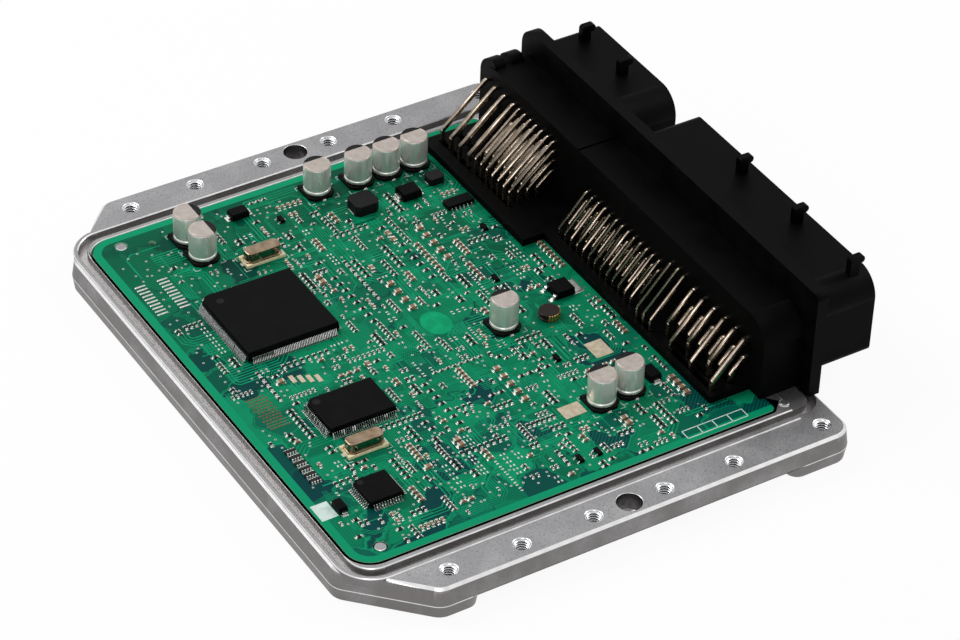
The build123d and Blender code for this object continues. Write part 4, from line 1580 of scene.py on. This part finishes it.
@dataclass
class ChipField(Assembly):
    """The many chip resistors and capacitors, laid out in rows round the larger parts."""

    half_width: float = 74.5
    rear_y: float = -71.0
    front_y: float = 49.0
    seed: int = 11
    target: int = 860
    tries: int = 14000
    gap: float = 0.35
    shares: tuple[float, ...] = (4.6, 2.0, 3.2, 0.35, 1.7)
    taken: list[Area] = field(default_factory=list)
    # Areas are given as lowest and highest X, then lowest and highest Y
    sparse: tuple[Area, ...] = (
        (-76, -40, -73, -40), (-60, 22, -73, -60), (-76, -60, -40, 10), (-4, 6, -12, -2),
        (56, 76, -50, -20),
    )
    sparse_skip: float = 0.8
    # Peg holes, via field, slanting pads, open copper, printed ladder, blank field, tooling hole
    kept_clear: tuple[Area, ...] = (
        (-76.1, -67.1, -69, -60), (67.1, 76.1, -69, -60), (3.5, 19.0, -68.0, -60.0),
        (0.0, 8.5, -53.5, -43.5), (-5.0, 6.2, -10.3, -1.0), (69.5, 75.0, 25.5, 47.0),
        (48.5, 57.5, -73.0, -67.0), (-71.0, -66.5, -58.0, -54.5),
    )

    def build(self) -> None:
        """Builds the chip parts of the CAD model and the ones between them."""
        self.keep_out()
        looks = self.finishes
        dress_of = {
            ChipKind.RESISTOR: (looks.resistor, Slot.RESISTOR),
            ChipKind.CAPACITOR: (looks.ceramic, Slot.CAPACITOR),
            ChipKind.SMALL_CAPACITOR: (looks.dark_ceramic, Slot.CAPACITOR),
            ChipKind.LARGE_CAPACITOR: (looks.ceramic, Slot.CAPACITOR),
            ChipKind.OPEN_PADS: (looks.solder, Slot.SOLDER),
        }
        stamps = {kind: Stamp.of(lambda bm, k=kind: self.chip(bm, k)) for kind in ChipKind}
        fixed = {"chip_resistors": ChipKind.RESISTOR, "chip_capacitors": ChipKind.LARGE_CAPACITOR}
        for node, kind in fixed.items():
            bm = bmesh.new()
            for box in solids_of(node):
                stamps[kind].place(bm, turned_about_z(*box.over(self.board_top), 90))
            body, slot = dress_of[kind]
            publish(bm, node + "_soldered", [body, looks.solder], node)
        pieces = {kind: bmesh.new() for kind in ChipKind}
        for kind, x, y, degrees in self.layout():
            stamps[kind].place(pieces[kind], turned_about_z(x, y, self.board_top, degrees))
        for kind, bm in pieces.items():
            body, slot = dress_of[kind]
            publish(bm, kind.name.lower() + "_rows", [body, looks.solder])
        self.arrays()

    def keep_out(self) -> None:
        """Notes the room that the larger parts and the header take."""
        for node in (
            "capacitor_bases", "crystal_bases", "inductors", "round_choke", "diode_bodies", "regulator_body",
            "regulator_tab_and_legs", "transistor_bodies", "power_pads", "test_pads", "resistor_arrays",
            "chip_resistors", "chip_capacitors",
        ):
            for box in solids_of(node):
                self.take_box(box, 0.7)
        for node in ("processor", "memory_chip", "driver_chip", "interface_chip"):
            self.take_box(Block(*mm_box(node + "_leads")), 0.5)
        low, high = mm_box("locator_plate")
        self.taken += [(low.x - 1, -17.0, 32.4, 60), (-17.0, high.x + 1, 39.2, 60), *self.kept_clear]

    def take_box(self, box: Block, margin: float) -> None:
        """Marks the room of a box, with a margin, as used."""
        x_span = (box.low.x - margin, box.high.x + margin)
        self.taken.append((*x_span, box.low.y - margin, box.high.y + margin))

    def is_free(self, area: Area) -> bool:
        """Whether an area of the board touches nothing that is already placed.

        Args:
            area: lowest and highest X, then lowest and highest Y.

        Returns:
            True if it is free.
        """
        x_low, x_high, y_low, y_high = area
        wide = x_low >= -self.half_width and x_high <= self.half_width
        if not wide or y_low < self.rear_y or y_high > self.front_y:
            return False
        return all(x_high < a or x_low > b or y_high < c or y_low > d for a, b, c, d in self.taken)

    def layout(self) -> list[tuple[ChipKind, float, float, float]]:
        """Lays seeded rows of chip parts in the free areas.

        Returns:
            Kind, X, Y and turn in degrees of every part.
        """
        chance = random.Random(self.seed)
        parts: list[tuple[ChipKind, float, float, float]] = []
        kinds = list(ChipKind)
        for _ in range(self.tries):
            if len(parts) >= self.target:
                break
            kind = chance.choices(kinds, self.shares)[0]
            length, width = kind.value[:2]
            count = chance.choice((1, 1, 2, 2, 3, 4, 5, 6, 8))
            along_x = chance.random() < 0.62
            crosswise = chance.random() < 0.8
            pitch = (width if crosswise else length) + chance.choice((0.75, 0.9, 1.1))
            x = round(chance.uniform(-self.half_width, self.half_width) * 2) / 2
            y = round(chance.uniform(self.rear_y, self.front_y) * 2) / 2
            if any(a < x < b and c < y < d for a, b, c, d in self.sparse):
                if chance.random() < self.sparse_skip:
                    continue
            along, across = (width, length) if crosswise else (length, width)
            half_along, half_across = along / 2 + self.gap, across / 2 + self.gap
            run = (count - 1) * pitch
            if along_x:
                area = (x - half_along, x + run + half_along, y - half_across, y + half_across)
            else:
                area = (x - half_across, x + half_across, y - half_along, y + run + half_along)
            if not self.is_free(area):
                continue
            self.taken.append(area)
            degrees = 90.0 if along_x == crosswise else 0.0
            step_x, step_y = (pitch, 0.0) if along_x else (0.0, pitch)
            parts += [(kind, x + i * step_x, y + i * step_y, degrees) for i in range(count)]
        log.info("chip parts laid out: %d", len(parts))
        return parts

    def chip(self, bm: BMesh, kind: ChipKind) -> None:
        """Builds one chip part along X: body, two caps, solder fillets and pads.

        Args:
            bm: empty mesh.
            kind: kind of the part.
        """
        length, width, height, share = kind.value
        cap = length * share
        ends = [side * (length - cap) / 2 for side in SIDES]
        if kind is ChipKind.OPEN_PADS:
            for x in ends:
                add_box(bm, (x, 0, height / 2), (cap, width, height), 0.03)
            return
        middle = height / 2 + 0.03
        add_box(bm, (0, 0, middle), (length - 2 * cap + 0.02, width * 0.94, height - 0.04), 0.03)
        for side, x in zip(SIDES, ends):
            add_box(bm, (x, 0, middle), (cap, width, height), 0.05, 1, 1)
            before = set(bm.verts)
            fillet_x = length / 2 + 0.1
            add_box(bm, (side * fillet_x, 0, 0.16), (0.24, width * 0.9, 0.3), 0, 1, 1)
            outer = [v for v in set(bm.verts) - before if v.co.z > 0.2 and v.co.x * side > fillet_x]
            bmesh.ops.translate(bm, vec=(0, 0, -0.24), verts=outer)
            pad_x = side * (length / 2 - cap / 2 + 0.1)
            add_box(bm, (pad_x, 0, 0.02), (cap + 0.5, width * 1.12, 0.04), 0, 1, 1)

    def arrays(self) -> None:
        """Resistor arrays: black body with scalloped tinned ends."""
        bm = bmesh.new()
        for box in solids_of("resistor_arrays"):
            wide, long, high = box.size
            add_box(bm, box.centre, (wide * 0.82, long, high), 0.05)
            for side in SIDES:
                for i in range(4):
                    x, y = side * wide * 0.44, (i - 1.5) * 0.8
                    add_box(bm, box.over(box.centre.z, x, y), (wide * 0.2, 0.45, high + 0.02), 0.05, 1, 1)
                    pad = box.over(self.board_top + 0.03, x + side * 0.2, y)
                    add_box(bm, pad, (0.6, 0.5, 0.05), 0, 1, 1)
        looks = [self.finishes.resistor, self.finishes.solder]
        publish(bm, "array_chips", looks, "resistor_arrays")


@dataclass
class BoardArt(Assembly):
    """Copper lines under the mask, vias, bare pads and plain legend shapes."""

    chips: ChipField = field(kw_only=True)
    seed: int = 5
    line_rise: float = 0.012
    line_step: float = 0.002
    line_levels: int = 13
    line_depth: float = 0.05
    line_x: float = 73.0
    line_y: Pair = (-70.0, 51.0)
    shortest_run: float = 0.6
    bundles: int = 260
    via_r: float = 0.34
    via_rise: float = 0.04
    via_room: float = 0.5
    most_vias: int = 431
    via_tries: int = 6000
    field_place: Pair = (4.8, -66.6)
    field_count: tuple[int, int] = (12, 6)
    field_pitch: float = 1.2
    pad_share: float = 0.72
    copper_place: Pair = (0.6, -5.7)
    copper_radii: Pair = (5.2, 4.2)
    copper_rise: float = 0.04
    blank_place: Pair = (53.1, -70.3)
    blank_size: Pair = (6.5, 4.8)
    ladder_x: Pair = (71.8, 75.0)
    ladder_y: Pair = (27.0, 46.0)
    ink: float = 0.03
    ladder_line: float = 0.28
    bracket: float = 1.6
    bracket_line: float = 0.15

    def build(self) -> None:
        """Builds lines, vias, pads and legend shapes and dresses the board."""
        dress("circuit_board", self.finishes.mask)
        dress("header_seal", self.finishes.seal)
        self.lines()
        self.vias()
        self.pads()
        self.legend()

    def inside(self, point: Vector) -> bool:
        """Whether a point lies on the board, clear of its border."""
        return abs(point.x) < self.line_x and self.line_y[0] < point.y < self.line_y[1]

    def line(
        self, bm: BMesh, start: Vector, degrees: float, runs: Sequence[Pair], width: float, rise: float
    ) -> None:
        """Adds one flat line with mitred bends.

        Args:
            bm: mesh to add to.
            start: where its middle starts.
            degrees: its first direction.
            runs: length of each run and the turn after it, in degrees.
            width: width of the line.
            rise: height of its top over the board.
        """
        heading = math.radians(degrees)
        centre = Vector((start.x, start.y, self.board_top + rise))
        across = Vector((-math.sin(heading), math.cos(heading), 0)) * width / 2
        edge = bm.edges.new([bm.verts.new(centre + across), bm.verts.new(centre - across)])
        mitre = 0.0
        for length, turn in runs:
            made = bmesh.ops.extrude_edge_only(bm, edges=[edge])["geom"]
            edge = next(g for g in made if isinstance(g, BMEdge))
            step = Vector((math.cos(heading), math.sin(heading), 0)) * length
            centre = centre + step
            half_turn = math.radians(turn) / 2
            bmesh.ops.translate(bm, vec=step, verts=edge.verts)
            spun = Matrix.Rotation(mitre + half_turn, 3, "Z")
            bmesh.ops.rotate(bm, cent=centre, matrix=spun, verts=edge.verts)
            wider = math.cos(mitre) / math.cos(half_turn)
            space = Matrix.Translation(-centre)
            bmesh.ops.scale(bm, vec=(wider, wider, 1), space=space, verts=edge.verts)
            mitre = half_turn
            heading += 2 * half_turn

    def lines(self) -> None:
        """Lays bundles of parallel lines with 45 degree bends."""
        chance = random.Random(self.seed)
        bm = bmesh.new()
        for bundle in range(self.bundles):
            # Crossing bundles lie at slightly different heights, so that no two tops share a plane
            rise = self.line_rise + self.line_step * (bundle % self.line_levels)
            start = Vector((chance.uniform(-71, 71), chance.uniform(-69, 48)))
            degrees = chance.randrange(4) * 90.0
            turn = chance.choice((-45.0, 45.0))
            count = chance.choice((1, 1, 2, 3, 4, 6, 9))
            width = chance.choice((0.22, 0.22, 0.3, 0.45))
            pitch = width * 2 + 0.12
            lengths = [chance.uniform(5, 18), chance.uniform(1.5, 7), chance.uniform(4, 20)]
            heading = math.radians(degrees)
            side = Vector((-math.sin(heading), math.cos(heading))) * math.copysign(1, turn)
            for i in range(count):
                lost = math.tan(math.radians(22.5)) * i * pitch
                runs = [(lengths[0] - lost, turn), (lengths[1] - 2 * lost, turn), (lengths[2] - lost, 0.0)]
                place = start + side * i * pitch
                long = min(run[0] for run in runs) > self.shortest_run
                if long and self.stays_inside(place, heading, runs):
                    self.line(bm, place, degrees, runs, width, rise)
        solid = bmesh.ops.extrude_face_region(bm, geom=list(bm.faces))["geom"]
        bmesh.ops.translate(bm, vec=(0, 0, -self.line_depth), verts=verts_of(solid))
        publish(bm, "masked_lines", [self.finishes.trace])

    def stays_inside(self, start: Vector, heading: float, runs: Sequence[Pair]) -> bool:
        """Whether a line stays on the board.

        Args:
            start: where it starts.
            heading: its first direction.
            runs: length of each run and the turn after it.

        Returns:
            True if every corner is clear of the border.
        """
        corners = [start]
        for length, turn in runs:
            corners.append(corners[-1] + Vector((math.cos(heading), math.sin(heading))) * length)
            heading += math.radians(turn)
        return all(self.inside(corner) for corner in corners)

    def vias(self) -> None:
        """Adds plated holes between the parts, and the dotted field at the rear."""
        chance = random.Random(self.seed + 1)
        stamp = Stamp.of(self.via)
        bm = bmesh.new()
        done, room = 0, self.via_room
        for _ in range(self.via_tries):
            if done == self.most_vias:
                break
            x, y = chance.uniform(-72, 72), chance.uniform(-69, 48)
            area = (x - room, x + room, y - room, y + room)
            if self.chips.is_free(area):
                self.chips.taken.append(area)
                stamp.place(bm, turned_about_z(x, y, self.board_top))
                done += 1
        # Painted shade: each via's middle is a flat dark disc in place of its hole
        via_shade = self.finishes.resistor
        publish(bm, "plated_vias", [self.finishes.solder, via_shade])
        bm = bmesh.new()
        columns, rows = self.field_count
        x, y = self.field_place
        for i in range(columns):
            for j in range(rows):
                shift = 0.5 * (i % 2)
                stamp.place(bm, turned_about_z(x + i * self.field_pitch, y + j + shift, self.board_top))
        publish(bm, "bare_via_field", [self.finishes.via_ring, via_shade])

    def via(self, bm: BMesh) -> None:
        """Builds one ring with a dark middle.

        Args:
            bm: empty mesh.
        """
        made = bmesh.ops.create_circle(bm, cap_ends=True, segments=10, radius=self.via_r)["verts"]
        solid = bmesh.ops.extrude_face_region(bm, geom=[made[0].link_faces[0]])["geom"]
        bmesh.ops.translate(bm, vec=(0, 0, self.via_rise), verts=verts_of(solid))
        top = next(g for g in solid if isinstance(g, BMFace))
        bmesh.ops.inset_region(bm, faces=[top], thickness=self.via_r * 0.5, use_even_offset=True)
        # The inset middle takes the painted shade of the hole
        top.material_index = 1

    def pads(self) -> None:
        """Power pads, test pads, four slanting bare pads and the open copper area."""
        bm = bmesh.new()
        for box in solids_of("power_pads"):
            add_box(bm, box.centre, box.size, 0.05)
        for i in range(4):
            add_box(bm, (2.6 + 1.0 * i, -51.4 + 2.1 * i, self.board_top + 0.05), (3.2, 1.3, 0.1), 0.03)
        publish(bm, "bare_power_pads", [self.finishes.bare_pad], "power_pads")
        bm = bmesh.new()
        for box in solids_of("test_pads"):
            slim = list(box.size)
            slim[1 if box.size.x > box.size.y else 0] *= self.pad_share
            add_box(bm, box.centre, slim, 0.05, 2)
        publish(bm, "tinned_test_pads", [self.finishes.solder], "test_pads")
        bm = bmesh.new()
        place = Matrix.Translation((*self.copper_place, self.board_top))
        oval = place @ Matrix.Diagonal((*self.copper_radii, 1, 1))
        bmesh.ops.create_circle(bm, cap_ends=True, segments=40, radius=1.0, matrix=oval)
        solid = bmesh.ops.extrude_face_region(bm, geom=list(bm.faces))["geom"]
        bmesh.ops.translate(bm, vec=(0, 0, self.copper_rise), verts=verts_of(solid))
        publish(bm, "open_copper_area", [self.finishes.open_copper])

    def legend(self) -> None:
        """Plain printed shapes: part outlines, a blank field and a ladder of boxes."""
        bm = bmesh.new()
        z = self.board_top + self.ink / 2
        add_box(bm, (*self.blank_place, z), (*self.blank_size, self.ink))
        self.ladder(bm, self.ladder_x, self.ladder_y, 4)
        for node, margin in (("capacitor_bases", 0.55), ("crystal_bases", 0.7)):
            for box in solids_of(node):
                self.brackets(bm, box, margin)
        publish(bm, "printed_shapes", [self.finishes.legend])

    def ladder(self, bm: BMesh, x_span: Pair, y_span: Pair, cells: int) -> None:
        """Adds a printed row of empty boxes along Y.

        Args:
            bm: mesh to add to.
            x_span: lowest and highest X.
            y_span: lowest and highest Y.
            cells: number of boxes.
        """
        z = self.board_top + self.ink / 2
        width, length = x_span[1] - x_span[0], y_span[1] - y_span[0]
        for x in x_span:
            add_box(bm, (x, sum(y_span) / 2, z), (self.ladder_line, length, self.ink))
        for i in range(cells + 1):
            y = y_span[0] + length * i / cells
            add_box(bm, (sum(x_span) / 2, y, z), (width, self.ladder_line, self.ink))

    def brackets(self, bm: BMesh, box: Block, margin: float) -> None:
        """Adds the four corner brackets of a printed frame.

        Args:
            bm: mesh to add to.
            box: box that the frame goes round.
            margin: room between them.
        """
        z, reach = self.board_top + self.ink / 2, self.bracket
        for x, side_x in ((box.low.x - margin, 1), (box.high.x + margin, -1)):
            for y, side_y in ((box.low.y - margin, 1), (box.high.y + margin, -1)):
                add_box(bm, (x + side_x * reach / 2, y, z), (reach, self.bracket_line, self.ink))
                add_box(bm, (x, y + side_y * reach / 2, z), (self.bracket_line, reach, self.ink))


@dataclass
class Studio:
    """Camera, lights and a white floor that keeps a faint shadow."""

    focal_mm: float = 138.75
    sensor_mm: float = 36.0
    far: float = 10.0
    place: tuple[float, float, float] = (670.373, -421.509, 634.490)
    right: tuple[float, float, float] = (0.52089366, 0.85314463, 0.02853136)
    down: tuple[float, float, float] = (0.54111923, -0.30416492, -0.78401128)
    forward: tuple[float, float, float] = (-0.66019677, 0.42382537, -0.62009054)
    world_level: float = 0.36
    paper: str = "#f2f2f2"
    paper_white: float = 0.93
    floor_half_mm: float = 2500.0

    def build(self) -> None:
        """Builds the camera, lights, world and floor, with colours shown as they are."""
        bpy.context.scene.view_settings.view_transform = "Standard"
        self.camera()
        self.floor()
        self.world()
        self.lamp("key_softbox", (-380, -260, 620), 420, 3.2)
        self.lamp("rear_softbox", (120, 520, 460), 360, 1.4)
        self.lamp("front_softbox", (560, -420, 300), 300, 1.0)

    def camera(self) -> None:
        """Places the camera where the photograph was taken."""
        data = bpy.data.cameras.new("camera")
        data.lens = self.focal_mm
        data.sensor_width = self.sensor_mm
        data.clip_end = self.far
        camera = bpy.data.objects.new("camera", data)
        bpy.context.scene.collection.objects.link(camera)
        turn = Matrix((self.right, [-v for v in self.down], [-v for v in self.forward])).transposed()
        camera.matrix_world = Matrix.Translation(Vector(self.place) * MM) @ turn.to_4x4()
        bpy.context.scene.camera = camera

    def lamp(self, name: str, place: Sequence[float], size: float, power: float) -> None:
        """Adds one square softbox that faces the object.

        Args:
            name: name of the lamp.
            place: its place in millimetres.
            size: side of the square in millimetres.
            power: power in watts.
        """
        data = bpy.data.lights.new(name, "AREA")
        data.shape = "SQUARE"
        data.size = size * MM
        data.energy = power
        lamp = bpy.data.objects.new(name, data)
        lamp.location = Vector(place) * MM
        lamp.rotation_euler = Vector(place).to_track_quat("Z", "Y").to_euler()
        bpy.context.scene.collection.objects.link(lamp)

    def watched(self, tree: NodeTree) -> NodeSocket:
        """Builds a socket that is 1 where the camera looks, straight, in a gloss or through a body.

        Args:
            tree: node tree of the world or the floor.

        Returns:
            The socket.
        """
        rays = add_node(tree, "LightPath").node.outputs
        seen = rays["Is Camera Ray"]
        for name in ("Is Glossy Ray", "Is Transmission Ray"):
            seen = add_node(tree, "Math", (seen, rays[name]), operation="MAXIMUM")
        return seen

    def world(self) -> None:
        """Plain light from all round, white where the camera or a gloss sees it."""
        world = bpy.data.worlds.new("studio_world")
        bpy.context.scene.world = world
        world.use_nodes = True
        tree = world.node_tree
        tree.nodes.clear()
        level = add_node(tree, "MapRange", (self.watched(tree), 0.0, 1.0, self.world_level, 1.0))
        back = add_node(tree, "Background", {"Color": linear("#ffffff"), "Strength": level})
        add_node(tree, "OutputWorld", {"Surface": back})

    def floor(self) -> None:
        """White floor in the resting plane."""
        bm = bmesh.new()
        bmesh.ops.create_grid(bm, x_segments=1, y_segments=1, size=self.floor_half_mm)
        bmesh.ops.scale(bm, vec=(MM,) * 3, verts=bm.verts)
        mesh = bpy.data.meshes.new("floor")
        bm.to_mesh(mesh)
        bm.free()
        material = new_material("white_paper_floor")
        tree = material.node_tree
        seen = add_node(tree, "Math", (self.watched(tree), self.paper_white), operation="MULTIPLY")
        paper = add_node(tree, "BsdfDiffuse", {"Color": linear(self.paper)})
        glow = add_node(tree, "Emission", {"Color": linear("#ffffff"), "Strength": 1.0})
        mixed = add_node(tree, "MixShader", (seen, paper, glow))
        add_node(tree, "OutputMaterial", {"Surface": mixed})
        mesh.materials.append(material)
        floor = bpy.data.objects.new("floor", mesh)
        bpy.context.scene.collection.objects.link(floor)


def main() -> None:
    """Builds the unit piece by piece, then the studio."""
    logging.basicConfig(level=logging.INFO, format="%(name)s %(message)s")
    finishes = Finishes()
    for assembly in (Casting, Header, Packages, Capacitors, Crystals, SmallPower):
        assembly(finishes).build()
    chips = ChipField(finishes)
    chips.build()
    BoardArt(finishes, chips=chips).build()
    Studio().build()


if __name__ == "__main__":
    main()
